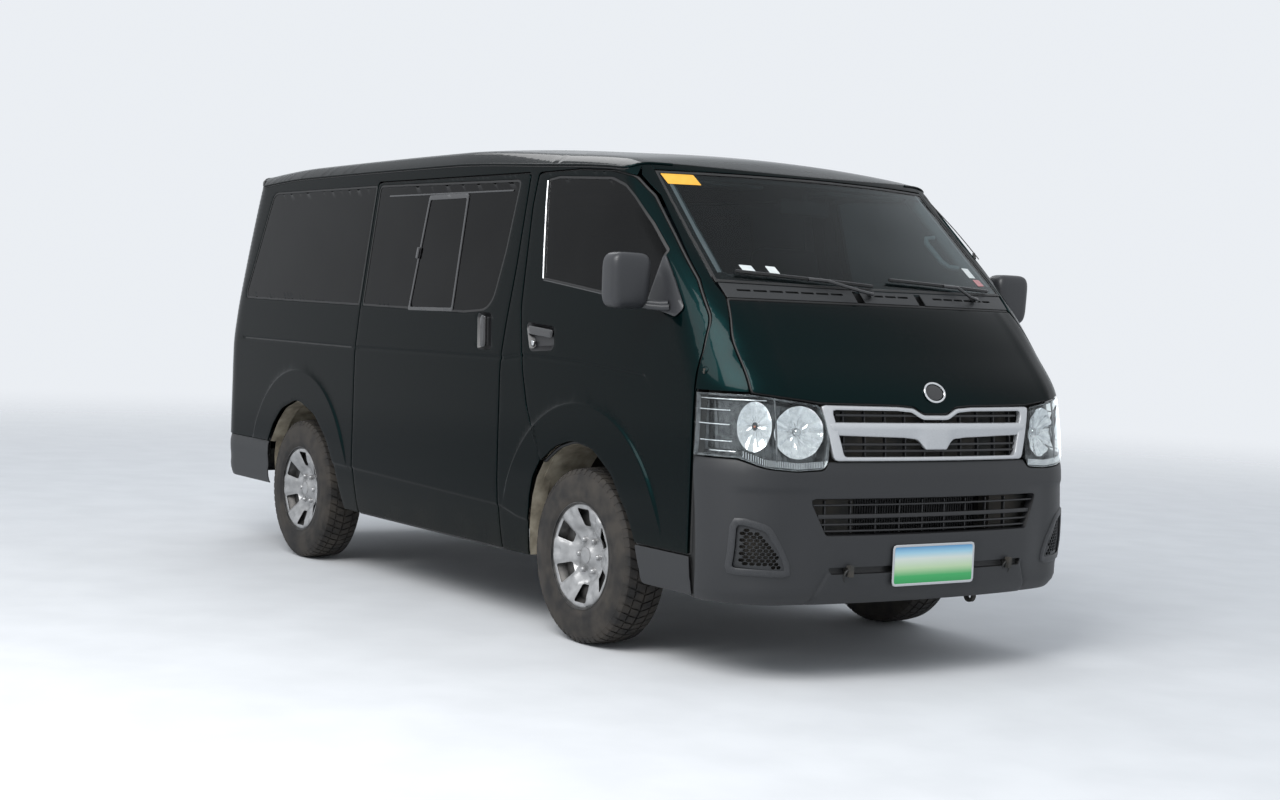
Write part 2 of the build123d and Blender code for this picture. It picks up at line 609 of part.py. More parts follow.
tail_block = front_block(TAIL_LAMP_OUTLINE, TAIL_X - 50, TAIL_LAMP_X).mirror(Plane.XZ)
right_tail_lamp = max(layer(0, WALL, tail_block).solids(), key=lambda solid: solid.volume)
NODES["tail_lamps"] = Compound([right_tail_lamp, mirror_side(right_tail_lamp)])


# Front panel behind lamps, grille and bumper, with the door hinge posts and the sill ends
def front_panel():
    depth = WALL + SEAT_GAP
    zone = brick(BUMPER_EDGE_X + 6, NOSE_X, -1000, 1000, 300, 1010)
    wall = layer(depth, 2 * WALL, zone)
    wall = less(wall, front_block([(-330, 460), (330, 460), (330, 700), (-330, 700)], 2000, NOSE_X), *lug_room(4))
    wall = max(wall.solids(), key=lambda solid: solid.volume)
    posts = []
    for z_low, z_high, x_low, x_high in ((300, 1130, BUMPER_EDGE_X + 6, 2062), (300, 430, 1715, 2062)):
        post = layer(depth, 2 * WALL, brick(x_low, x_high, -1000, -700, z_low, z_high))
        posts.append(less(post, FRONT_ARCH_HOLE))
    right = join(*posts, *door_hinge_pins())
    brackets = [layer(SKIN + SEAT_GAP, 2 * WALL, brick(2150, NOSE_X, y - 30, y + 30, 330, 420))
                for y in (-250, 250)]
    return join(wall, right, mirror_side(right), *brackets)


NODES["front_panel"] = front_panel()


# Rockers under the front doors ride on the front panel's sill ends
def rocker():
    zone = brick(1600, BUMPER_EDGE_X - SEAT_GAP - 1, -1100, -600, SILL_Z, STEP_TOP_Z)
    piece = less(layer(0, WALL, zone), side_block(FRONT_ARCH, *RIGHT))
    return max(piece.solids(), key=lambda solid: solid.volume)


NODES["rockers"] = Compound(list(both_sides(rocker)))


# Floor pan: rear floor, raised cab floor over the front wheels, footwell and toe board
def floor_pan():
    t = FLOOR_SHEET
    top = [(TAIL_X + 20, REAR_FLOOR_Z), (790, REAR_FLOOR_Z), (790, CAB_FLOOR_Z), (1700, CAB_FLOOR_Z),
           (1700, FOOTWELL_Z), (2060, FOOTWELL_Z), (2150, 700), (2150, 1000)]
    low = [(2150 + t, 1000), (2150 + t, 694), (2076, FOOTWELL_Z - t), (1700 - t, FOOTWELL_Z - t),
           (1700 - t, CAB_FLOOR_Z - t), (790 + t, CAB_FLOOR_Z - t), (790 + t, REAR_FLOOR_Z - t),
           (TAIL_X + 20, REAR_FLOOR_Z - t)]
    sheet = side_block(top + low, -1000, 1000)
    ahead = common(less(sheet, brick(-3000, 2000, -1100, 1100, 0, 2000)), body(2 * WALL + SEAT_GAP))
    behind = common(less(sheet, brick(2000, 3000, -1100, 1100, 0, 2000)), body(WALL + SEAT_GAP))
    sheet = join(ahead, behind)
    for sign in (-1, 1):
        y0, y1 = sorted((sign * 580, sign * 900))
        sheet = less(sheet, brick(REAR_AXLE_X - 425, REAR_AXLE_X + 442, y0, y1, 400, 900))
    tail = layer(WALL + SEAT_GAP, 2 * WALL, brick(TAIL_X, -2150, -1000, 1000, 380, REAR_FLOOR_Z - 5))
    stays = [layer(SKIN + SEAT_GAP, 2 * WALL, brick(TAIL_X, -2150, y - 40, y + 40, 400, 440)) for y in (-300, 300)]
    return join(sheet, tail, *stays)


NODES["floor_pan"] = floor_pan()


# Wheel housings: the liner over each wheel, with an inner cheek at the rear
def housing(rows, y_inner, y_outer, cheek):
    shape = less(side_block(rows, y_inner, y_outer, HOUSING_SHEET + 2), side_block(rows, y_inner, y_outer, 2))
    shape = common(shape, brick(-2000, 2000, -1000, 1000, 300, 1000))
    if cheek:
        wall = side_block(rows, y_outer, y_outer + HOUSING_SHEET, HOUSING_SHEET + 2)
        shape = join(shape, common(wall, brick(-2000, 2000, -1000, 1000, 470, 1000)))
    return shape


def wheel_housings():
    edge = 820.0
    front = housing(FRONT_ARCH, -edge, -600, False)
    rear = housing(REAR_ARCH, -edge, -589, True)
    inside = body(WALL + SEAT_GAP)
    under_cab = brick(0, 2000, -1000, 1000, 0, CAB_FLOOR_Z - FLOOR_SHEET - SEAT_GAP)
    front = common(common(front, under_cab), inside)
    return Compound(list(front.solids()) + list(common(rear, inside).solids()))


housings_right = wheel_housings()
NODES["wheel_housings"] = Compound(list(housings_right.solids()) + list(mirror_side(housings_right).solids()))

# Underframe: two long rails, crossmembers by x, spring hangers and the front towing lugs
CROSS_XS = (-2150.0, -1750.0, -700.0, -50.0, 250.0, 1900.0, 2150.0)
RAIL_TOP = REAR_FLOOR_Z - FLOOR_SHEET - SEAT_GAP
RAIL_LOW = RAIL_TOP - RAIL_HEIGHT


def underframe():
    parts = []
    for y in (-RAIL_Y, RAIL_Y):
        parts.append(brick(TAIL_X + 120, NOSE_X - 150, y - RAIL_WIDTH / 2, y + RAIL_WIDTH / 2, RAIL_LOW, RAIL_TOP))
    for x in CROSS_XS:
        parts.append(brick(x - 35, x + 35, -RAIL_Y, RAIL_Y, RAIL_LOW, RAIL_TOP))
    for x in (REAR_AXLE_X - 620, REAR_AXLE_X + 620):
        for y in (-530, 530):
            y0, y1 = sorted((y * 0.94, math.copysign(RAIL_Y, y)))
            parts.append(brick(x - 20, x + 20, min(y0, y1), max(y0, y1), 400, RAIL_TOP))
            parts.append(brick(x - 20, x + 20, y - 32, y + 32, 352, RAIL_TOP))
    parts.append(brick(FRONT_AXLE_X - 60, FRONT_AXLE_X + 60, -RAIL_Y, RAIL_Y, 215, 275))
    for y in (-RAIL_Y, RAIL_Y):
        parts.append(brick(FRONT_AXLE_X - 60, FRONT_AXLE_X + 60, y - 30, y + 30, 220, RAIL_LOW + 5))
    for y in (-LUG_Y, LUG_Y):
        lug = brick(NOSE_X - 200, LUG_TIP_X, y - LUG_THICK / 2, y + LUG_THICK / 2,
                    LUG_Z - LUG_HEIGHT / 2, LUG_Z + LUG_HEIGHT / 2)
        bore = rod((LUG_TIP_X - 22, y - 20, LUG_Z), (LUG_TIP_X - 22, y + 20, LUG_Z), LUG_BORE)
        parts.append(less(lug, bore))
    for x, z in LOW_EYES:
        plate = brick(x - 26, x + 26, RAIL_Y - 8, RAIL_Y + 8, z - 4, RAIL_LOW + 5)
        plate = join(plate, rod((x, RAIL_Y - 8, z), (x, RAIL_Y + 8, z), 26))
        parts.append(less(plate, rod((x, RAIL_Y - 20, z), (x, RAIL_Y + 20, z), LOW_EYE_BORE)))
    return join(*parts)


NODES["underframe"] = underframe()
HANGER_Z = 352.0


# Leaf springs: three leaves each, arched between the hangers and clamped under the axle
def leaf_spring(y):
    leaves = []
    for half, drop in ((600, 0.0), (430, 9.0), (260, 18.0)):
        sag = 60.0
        face_z = HANGER_Z - SEAT_GAP - drop
        lift = sag * (1 - (half / 600) ** 2)
        low = REAR_AXLE_X - half
        high = REAR_AXLE_X + half
        top = [(low, face_z - lift), (REAR_AXLE_X, face_z - sag, high, face_z - lift)]
        rows = top + [(high, face_z - lift - 9), (REAR_AXLE_X, face_z - sag - 9, low, face_z - lift - 9)]
        leaves.append(side_block(rows, y - 30, y + 30))
    clamp = brick(REAR_AXLE_X - 50, REAR_AXLE_X + 50, y - 34, y + 34, HANGER_Z - 96, HANGER_Z - 62)
    ends = [brick(x - 14, x + 14, y - 30, y + 30, HANGER_Z - SEAT_GAP - 12, HANGER_Z - SEAT_GAP)
            for x in (REAR_AXLE_X - 606, REAR_AXLE_X + 606)]
    return join(*leaves, clamp, *ends)


NODES["leaf_springs"] = Compound([leaf_spring(-530), leaf_spring(530)])

# Rear axle with its differential, spring pads, stub spindles and the propeller shaft
AXLE_TUBE = 38.0


def rear_axle():
    z = TYRE_RADIUS
    x = REAR_AXLE_X
    tube = rod((x, -620, z), (x, 620, z), AXLE_TUBE)
    half = REAR_TRACK / 2
    spindles = rod((x, -half - 20, z), (x, half + 20, z), SPINDLE_RADIUS)
    ball = Solid.make_sphere(118).moved(Location((x, 0, z)))
    ball = common(ball, brick(x - 130, x + 130, -120, 120, z - 112, z + 48))
    shaft = rod((x + 80, 0, z), (850 - SEAT_GAP, 0, z), 34)
    discs = [rod((x, y, z), (x, y + math.copysign(26, y), z), 128) for y in (-612, 612)]
    pads = [brick(x - 40, x + 40, y - 32, y + 32, HANGER_Z - 60, z) for y in (-530, 530)]
    return join(tube, spindles, ball, shaft, *discs, *pads)


NODES["rear_axle"] = rear_axle()


# Front arms: a lower and an upper wishbone each side, carried by the front crossmember
def front_arms():
    arms = []
    for z, thick, root_y in ((238, 22, RAIL_Y + 40), (470, 18, RAIL_Y + 40)):
        x = FRONT_AXLE_X
        plan = [(x - 26, -KINGPIN_Y), (x + 26, -KINGPIN_Y), (x + 58, -root_y), (x - 58, -root_y)]
        face = Face(Wire([Line((a[0], a[1], z), (b[0], b[1], z)) for a, b in zip(plan, plan[1:] + plan[:1])]))
        arm = Solid.extrude(face, Vector(0, 0, thick))
        eye = rod((x, -KINGPIN_Y, z), (x, -KINGPIN_Y, z + thick), 26)
        hole = rod((x, -KINGPIN_Y, z - 5), (x, -KINGPIN_Y, z + thick + 5), 10 + BEARING_GAP)
        arms.append(less(join(arm, eye), hole))
    post = brick(FRONT_AXLE_X - 50, FRONT_AXLE_X + 50, -RAIL_Y - 60, -RAIL_Y - 34 - SEAT_GAP, 238, 488)
    return join(*arms, post)


arms_right = front_arms()
NODES["front_suspension"] = Compound([arms_right, mirror_side(arms_right)])


# Steering knuckles: an upright with a pin into each arm, a brake disc and the spindle
def knuckle():
    x = FRONT_AXLE_X
    y = -KINGPIN_Y
    upright = brick(x - 24, x + 24, y - 20, y + 20, 262, 466)
    pins = rod((x, y, 236), (x, y, 490), 10)
    spindle = rod((x, y, TYRE_RADIUS), (x, -FRONT_TRACK / 2 - 20, TYRE_RADIUS), SPINDLE_RADIUS)
    disc = rod((x, y - 32, TYRE_RADIUS), (x, y - 50, TYRE_RADIUS), 132)
    return join(upright, pins, spindle, disc)


for side, shape in zip(("right", "left"), both_sides(knuckle)):
    NODES["knuckle_" + side] = shape


# Wheels: half profiles are turned about the axle; y grows outward from the wheel's middle
def turned(profile, x, y, z, outward):
    """Turn a profile of radius, offset corners about the wheel's axle."""
    points = [Vector(r, 0, w * 1.0) for r, w in profile]
    edges = [Line(a, b) for a, b in zip(points, points[1:] + points[:1])]
    solid = Solid.revolve(Face(Wire(edges)), 360, Axis.Z)
    place = Plane(origin=(x, y, z), x_dir=(1, 0, 0), z_dir=(0, outward, 0))
    return solid.moved(Location(place))


TYRE_PROFILE = [(RIM_RADIUS + 1, -77), (COVER_RADIUS + 0.5, -83), (COVER_RADIUS + 2, -91), (RIM_RADIUS + 60, -97.5),
                (TYRE_RADIUS - 48, -95), (TYRE_RADIUS - 6, -72), (TYRE_RADIUS, 0), (TYRE_RADIUS - 6, 72),
                (TYRE_RADIUS - 48, 95), (RIM_RADIUS + 60, 97.5), (COVER_RADIUS + 2, 91), (COVER_RADIUS + 0.5, 83),
                (RIM_RADIUS + 1, 77), (TYRE_RADIUS - 24, 60), (TYRE_RADIUS - 24, -60)]
BARREL_PROFILE = [(RIM_RADIUS, -84), (COVER_RADIUS, -90), (COVER_RADIUS, -84), (RIM_RADIUS + 0.5, -78),
                  (RIM_RADIUS + 0.5, 78), (COVER_RADIUS, 84), (COVER_RADIUS, 92), (RIM_RADIUS - RIM_WALL, 84),
                  (RIM_RADIUS - RIM_WALL, -84)]
DISC_PROFILE = [(RIM_RADIUS - 4, 60), (RIM_RADIUS - 4, 76), (150, 70), (112, 60), (96, 44), (58, 40), (40, 54),
                (34, 62), (0.01, 64), (0.01, 26), (SPINDLE_RADIUS + BEARING_GAP, 26),
                (SPINDLE_RADIUS + BEARING_GAP, -6), (60, -6), (64, 24), (100, 30), (116, 46), (150, 56)]


def rim(x, y, z, outward):
    """A steel rim with its cover: six pairs of windows, six nut domes and a hub cap."""
    barrel = turned(BARREL_PROFILE, x, y, z, outward)
    disc = turned(DISC_PROFILE, x, y, z, outward)
    cuts = []
    domes = []
    for k in range(WINDOW_COUNT):
        turn = math.radians(k * 360 / WINDOW_COUNT + 30)
        cx = x + 146 * math.cos(turn)
        cz = z + 146 * math.sin(turn)
        cuts.append(rod((cx, y + outward * 20, cz), (cx, y + outward * 100, cz), 25))
    for k in range(NUT_COUNT):
        turn = math.radians(k * 360 / NUT_COUNT)
        nx = x + NUT_CIRCLE * math.cos(turn)
        nz = z + NUT_CIRCLE * math.sin(turn)
        domes.append(rod((nx, y + outward * 30, nz), (nx, y + outward * 58, nz), 11))
    return join(less(join(barrel, disc), *cuts), *domes)


def tyre(x, y, z, outward):
    return turned(TYRE_PROFILE, x, y, z, outward)


WHEELS = [
    ("fl", FRONT_AXLE_X, FRONT_TRACK / 2), ("fr", FRONT_AXLE_X, -FRONT_TRACK / 2),
    ("rl", REAR_AXLE_X, REAR_TRACK / 2), ("rr", REAR_AXLE_X, -REAR_TRACK / 2),
]
for name, wheel_x, wheel_y in WHEELS:
    out = 1 if wheel_y > 0 else -1
    NODES["tyre_" + name] = tyre(wheel_x, wheel_y, TYRE_RADIUS, out)
    NODES["rim_" + name] = rim(wheel_x, wheel_y, TYRE_RADIUS, out)


def soft_block(x0, x1, y0, y1, z0, z1, radius):
    """A block with all its edges rounded."""
    block = brick(x0, x1, y0, y1, z0, z1)
    return block.fillet(radius, block.edges())


def seat(x, y0, y1, floor_z, height, depth, back_height):
    """One seat row: cushion, leaning back and two leg frames, facing forward; x is the back's foot."""
    cushion = soft_block(x, x + depth, y0, y1, floor_z + height - 130, floor_z + height, 30)
    back = soft_block(x - 110, x + 10, y0, y1, floor_z + height - 60, floor_z + height + back_height, 30)
    back = back.rotate(Axis((x, 0, floor_z + height - 60), (0, 1, 0)), -12)
    legs = [brick(x + 40, x + depth - 60, y, y + 40, floor_z + SEAT_GAP, floor_z + height - 100)
            for y in (y0 + 60, y1 - 100)]
    return join(cushion, back, *legs)


# Bench rows: x of the back's foot, right edge, left edge
BENCH_ROWS = [(180, -420, 720), (-520, -420, 720), (-1230, -420, 560), (-1930, -560, 560)]
NODES["rear_benches"] = Compound([seat(x, y0, y1, REAR_FLOOR_Z, 340, 430, 560) for x, y0, y1 in BENCH_ROWS])
NODES["front_seats"] = Compound([seat(1010, y0, y1, CAB_FLOOR_Z, 220, 470, 560)
                                 for y0, y1 in ((-700, -180), (180, 700))])

# Dashboard, steering column and wheel
WHEEL_CENTRE = (1640.0, 390.0, 1130.0)


def dashboard():
    rows = [(1790, 790), (1800, 1080), (1830, 1220, 1900, 1250), (2010, 1262), (2068, 1180), (2080, 790)]
    return common(side_block(rows, -760, 760), body(2 * WALL + SEAT_GAP))


NODES["dashboard"] = dashboard()


def steering_wheel():
    """A rim on three spokes with a padded boss, and the column down into the dashboard."""
    lean = math.radians(62)
    axis = Vector(-math.cos(lean), 0, math.sin(lean))
    place = Plane(origin=WHEEL_CENTRE, x_dir=(0, 1, 0), z_dir=axis)
    ring = Solid.make_torus(185, 14).moved(Location(place))
    hub = Solid.make_cylinder(55, 40, Plane(origin=Vector(*WHEEL_CENTRE) - axis * 34, z_dir=axis))
    spokes = []
    for turn in (90, 210, 330):
        a = math.radians(turn)
        start = place.from_local_coords(Vector(30 * math.cos(a), 30 * math.sin(a), -8))
        end = place.from_local_coords(Vector(185 * math.cos(a), 185 * math.sin(a), 0))
        spokes.append(rod(tuple(start), tuple(end), 11))
    centre = Vector(*WHEEL_CENTRE)
    low = centre - axis * 360
    column = rod(tuple(centre), tuple(low), 30)
    return less(join(ring, hub, column, *spokes), NODES["dashboard"])


NODES["steering_wheel"] = steering_wheel()

# Engine and gearbox as one block with a stepped end, fuel tank and exhaust
mount_y = RAIL_Y - RAIL_WIDTH / 2 - SEAT_GAP
engine = join(brick(900, 1600, -270, 270, 352, 762), brick(850, 910, -150, 150, 300, 560),
              brick(1200, 1280, -mount_y, mount_y, 400, 440))
NODES["engine_block"] = engine
NODES["fuel_tank"] = soft_block(-760, 10, 60, 350, 232, RAIL_LOW - SEAT_GAP, 30)


def exhaust():
    y = -250.0
    route = [(899, 322), (-950, 322), (-1120, 426), (-1480, 426), (-1640, 320), (-2290, 300)]
    pipe = [rod((a[0], y, a[1]), (b[0], y, b[1]), 24) for a, b in zip(route, route[1:])]
    balls = [Solid.make_sphere(24).moved(Location((x, y, z))) for x, z in route[1:-1]]
    can = rod((-620, y, 318), (-120, y, 318), 72)
    hangers = [brick(x - 8, x + 8, y - 8, y + 8, 306, RAIL_LOW - SEAT_GAP) for x in (-50, 250, -2150)]
    return join(*pipe, *balls, can, *hangers)


NODES["exhaust"] = exhaust()


# Door mirrors: a base plate on the door's front corner, an arm and a rounded housing
def mirror_unit():
    plate = layer(-10, -SEAT_GAP, side_block(MIRROR_BASE, *RIGHT))
    housing_block = soft_block(1640, 1750, -1030, -862, 1285, 1490, 34)
    arm = brick(1700, 1800, -900, -812, 1292, 1318)
    arm = less(arm, body(-SEAT_GAP))
    return join(plate, housing_block, arm)


for side, shape in zip(("right", "left"), both_sides(mirror_unit)):
    NODES["mirror_" + side] = shape


os.makedirs("parts", exist_ok=True)
for name, shape in NODES.items():
    export_step(shape, "parts/" + name + ".step")
    print(name, len(shape.solids()), round(shape.volume / 1e6, 2))
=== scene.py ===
import bpy
import bmesh
import math
import numpy as np
from mathutils import Matrix, Vector
from mathutils.geometry import delaunay_2d_cdt


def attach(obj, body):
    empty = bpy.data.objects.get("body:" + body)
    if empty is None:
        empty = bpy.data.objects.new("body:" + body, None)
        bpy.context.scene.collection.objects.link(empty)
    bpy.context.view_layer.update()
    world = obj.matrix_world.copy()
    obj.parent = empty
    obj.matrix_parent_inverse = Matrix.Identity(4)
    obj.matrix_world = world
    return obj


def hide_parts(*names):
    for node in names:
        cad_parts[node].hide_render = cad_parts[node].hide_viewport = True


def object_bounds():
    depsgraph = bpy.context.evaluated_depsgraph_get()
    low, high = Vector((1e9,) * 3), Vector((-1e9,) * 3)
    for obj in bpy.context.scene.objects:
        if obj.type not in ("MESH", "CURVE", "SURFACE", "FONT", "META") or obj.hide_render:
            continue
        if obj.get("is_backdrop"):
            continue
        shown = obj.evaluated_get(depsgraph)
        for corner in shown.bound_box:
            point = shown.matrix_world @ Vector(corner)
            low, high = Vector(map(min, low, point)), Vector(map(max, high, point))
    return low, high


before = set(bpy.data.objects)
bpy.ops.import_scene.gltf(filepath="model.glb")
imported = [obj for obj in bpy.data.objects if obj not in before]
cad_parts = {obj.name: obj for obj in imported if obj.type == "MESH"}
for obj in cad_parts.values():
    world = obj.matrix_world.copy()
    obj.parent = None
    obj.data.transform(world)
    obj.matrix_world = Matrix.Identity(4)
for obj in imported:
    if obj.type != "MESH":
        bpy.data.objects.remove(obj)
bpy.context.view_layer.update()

# Camera: it stands off the van's front right corner at chest height, tilted a little to one side, and looks
# nearly level at the van through a moderately long lens. Its lengths are in metres.
azimuth, elevation, roll = (math.radians(a) for a in (55.674, 2.716, 2.345))
aimed_at, distance, lens_length, sensor_width = Vector((0.4305, 0, 0.887)), 8.472, 54.09, 36.0
back = Vector((math.sin(azimuth) * math.cos(elevation), -math.cos(azimuth) * math.cos(elevation),
               math.sin(elevation)))
right_way = (-back).cross(Vector((0, 0, 1))).normalized()
up_way = right_way.cross(-back)
cam_x = right_way * math.cos(roll) + up_way * math.sin(roll)
cam_y = -right_way * math.sin(roll) + up_way * math.cos(roll)
cam = bpy.data.objects.new("camera", bpy.data.cameras.new("camera"))
bpy.context.scene.collection.objects.link(cam)
place = aimed_at + back * distance
cam.matrix_world = Matrix(((cam_x.x, cam_y.x, back.x, place.x), (cam_x.y, cam_y.y, back.y, place.y),
                           (cam_x.z, cam_y.z, back.z, place.z), (0, 0, 0, 1)))
cam.data.sensor_width, cam.data.lens = sensor_width, lens_length
cam.data.clip_start, cam.data.clip_end = 0.1, 500
bpy.context.scene.camera = cam
bpy.context.scene.view_settings.view_transform = "Standard"

# Floor and light: a wide pale floor that fades into a soft studio sky, one big lamp high on the front right
# side, a weaker one beside it and one behind, as in a product photograph.
floor_half, fade_start, fade_end = 30.0, 4.0, 17.0
lamps_aimed_at = Vector((0, 0, 0.9))


def plain_mesh(name, points, faces):
    """An object with these points, in metres, and faces."""
    mesh = bpy.data.meshes.new(name)
    mesh.from_pydata([tuple(p) for p in points], [], [tuple(f) for f in faces])
    mesh.update()
    made = bpy.data.objects.new(name, mesh)
    bpy.context.scene.collection.objects.link(made)
    return made


def add_node(tree, kind, feeds, values=None, **settings):
    """A new shader node, fed from other nodes' sockets, with its own values and settings."""
    new = tree.nodes.new("ShaderNode" + kind)
    for key, setting in settings.items():
        setattr(new, key, setting)
    for socket, value in (values or {}).items():
        new.inputs[socket].default_value = value
    for socket, source in feeds.items():
        tree.links.new(source, new.inputs[socket])
    return new


def finish_look(name, dark, light, scale, rough, bump=0.0, **sockets):
    """A material whose colour runs between two tones, with uneven roughness and a fine grain."""
    mat = bpy.data.materials.new(name)
    mat.use_nodes = True
    tree = mat.node_tree
    surface = tree.nodes["Principled BSDF"]
    where = add_node(tree, "TexCoord", {})
    noise = add_node(tree, "TexNoise", {"Vector": where.outputs["Object"]}, {"Scale": scale, "Detail": 5})
    tone = add_node(tree, "ValToRGB", {"Fac": noise.outputs["Fac"]})
    for stop, position, colour in zip(tone.color_ramp.elements, (0.35, 0.65), (dark, light)):
        stop.position, stop.color = position, (*colour, 1)
    tree.links.new(tone.outputs["Color"], surface.inputs["Base Color"])
    uneven = add_node(tree, "MapRange", {"Value": noise.outputs["Fac"]},
                      {"To Min": rough[0], "To Max": rough[1]})
    tree.links.new(uneven.outputs["Result"], surface.inputs["Roughness"])
    if bump:
        grain = add_node(tree, "Bump", {"Height": noise.outputs["Fac"]},
                         {"Strength": bump, "Distance": 0.001})
        tree.links.new(grain.outputs["Normal"], surface.inputs["Normal"])
    for key, value in sockets.items():
        surface.inputs[key.replace("_", " ")].default_value = value
    return mat


corners = [(floor_half * x, floor_half * y, 0) for x, y in ((-1, -1), (1, -1), (1, 1), (-1, 1))]
floor = plain_mesh("floor", corners, [(0, 1, 2, 3)])
floor_look = finish_look("pale_floor", (0.66, 0.67, 0.68), (0.70, 0.71, 0.72), 3, (0.7, 0.8))
tree = floor_look.node_tree
far_off = add_node(tree, "VectorMath", {0: tree.nodes["Texture Coordinate"].outputs["Object"]},
                   operation="LENGTH")
fade = add_node(tree, "MapRange", {"Value": far_off.outputs["Value"]},
                {"From Min": fade_start, "From Max": fade_end}, interpolation_type="SMOOTHSTEP")
clear = add_node(tree, "BsdfTransparent", {})
faded = add_node(tree, "MixShader", {"Fac": fade.outputs["Result"],
                                     1: tree.nodes["Principled BSDF"].outputs[0], 2: clear.outputs[0]})
tree.links.new(faded.outputs[0], tree.nodes["Material Output"].inputs["Surface"])
floor.data.materials.append(floor_look)
floor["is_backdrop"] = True
world = bpy.data.worlds.new("studio")
bpy.context.scene.world = world
world.use_nodes = True
sky = world.node_tree
sky.nodes.clear()
ray = add_node(sky, "LightPath", {})
direct = add_node(sky, "Math", {0: ray.outputs["Is Camera Ray"], 1: ray.outputs["Is Glossy Ray"]},
                  operation="MAXIMUM")
shown = add_node(sky, "Math", {0: direct.outputs[0], 1: ray.outputs["Is Transmission Ray"]},
                 operation="MAXIMUM")
lit = add_node(sky, "Background", {}, {"Color": (0.86, 0.92, 1.0, 1), "Strength": 0.75})
seen = add_node(sky, "Background", {}, {"Color": (0.83, 0.86, 0.9, 1), "Strength": 1.0})
both = add_node(sky, "MixShader", {"Fac": shown.outputs[0], 1: lit.outputs[0], 2: seen.outputs[0]})
add_node(sky, "OutputWorld", {"Surface": both.outputs[0]})
for lamp_name, lamp_place, lamp_size, lamp_power in (
        ("key_light", (4.0, -5.0, 6.0), 4.0, 440.0), ("fill_light", (0.5, -8.0, 6.5), 3.0, 120.0),
        ("back_light", (-6.0, 2.0, 7.0), 3.0, 80.0)):
    lamp = bpy.data.objects.new(lamp_name, bpy.data.lights.new(lamp_name, "AREA"))
    lamp.data.size, lamp.data.energy = lamp_size, lamp_power
    lamp.location = lamp_place
    lamp.rotation_mode = "QUATERNION"
    lamp.rotation_quaternion = (Vector(lamp_place) - lamps_aimed_at).to_track_quat("Z", "Y")
    bpy.context.scene.collection.objects.link(lamp)

# Body sides: pressed sheet steel, welded along hidden flanges, in a very dark green metallic paint with road
# dust low down. Plan sections give the body's shape, one row per height, and it is smooth between them.
# height, front x, front bow radius, front corner radius, half width, rear x, rear bow and rear corner radius
nose, tail = 2347.5, -2347.5
plan_sections = np.array([(240, nose - 58, 3600, 240, 812, tail + 58, 6000, 190),
                          (330, nose - 15, 3600, 250, 835, tail + 10, 6000, 210),
                          (480, nose, 3600, 250, 846, tail, 6000, 220),
                          (800, nose - 10, 3500, 270, 847.5, tail + 18, 6000, 200),
                          (1000, nose - 35, 3500, 290, 847, tail + 26, 6000, 190),
                          (1180, nose - 146, 2800, 270, 833, tail + 42, 6000, 180),
                          (1340, nose - 276, 2300, 200, 813, tail + 60, 6000, 175),
                          (1600, nose - 560, 2100, 100, 779, tail + 100, 6000, 165),
                          (1850, nose - 833, 1950, 80, 746, tail + 153, 6000, 150),
                          (2060, nose - 1058, 1900, 80, 719, tail + 198, 6000, 150)], float)
section_heights = np.arange(240.0, 2060.1, 4.0)


def eased(rows, at):
    """Values between table rows by smooth curves that never overshoot; the first column is where."""
    x, y = rows[:, 0], rows[:, 1:]
    rise = np.diff(y, axis=0) / np.diff(x)[:, None]
    slope = np.zeros_like(y)
    same = rise[:-1] * rise[1:] > 0
    slope[1:-1] = np.where(same, 2 * rise[:-1] * rise[1:] / np.where(same, rise[:-1] + rise[1:], 1), 0)
    slope[0], slope[-1] = rise[0], rise[-1]
    k = np.clip(np.searchsorted(x, at, side="right") - 1, 0, len(x) - 2)
    h = (x[k + 1] - x[k])[:, None]
    t = ((at - x[k])[:, None]) / h
    return (y[k] * (1 + 2 * t) * (1 - t) ** 2 + slope[k] * h * t * (1 - t) ** 2
            + y[k + 1] * t * t * (3 - 2 * t) + slope[k + 1] * h * t * t * (t - 1))


section_table = eased(plan_sections, section_heights)


class Plan:
    """The body's plan section at each height: its bows and corners, and the way round to the end of each."""

    def __init__(self, z):
        (self.front, self.bow, self.corner, self.half, self.rear, self.rear_bow, self.rear_corner) = [
            np.interp(z, section_heights, section_table[:, i]) for i in range(7)]
        reach = np.sqrt((self.bow - self.corner) ** 2 - (self.half - self.corner) ** 2)
        rear_reach = np.sqrt((self.rear_bow - self.rear_corner) ** 2 - (self.half - self.rear_corner) ** 2)
        self.corner_x = self.front - self.bow + reach
        self.rear_corner_x = self.rear + self.rear_bow - rear_reach
        self.turn = np.arctan2(self.half - self.corner, reach)
        self.rear_turn = np.arctan2(self.half - self.rear_corner, rear_reach)
        self.bow_end = self.bow * self.turn
        self.corner_end = self.bow_end + self.corner * (np.pi / 2 - self.turn)
        self.side_end = self.corner_end + self.corner_x - self.rear_corner_x
        self.rear_corner_end = self.side_end + self.rear_corner * (np.pi / 2 - self.rear_turn)


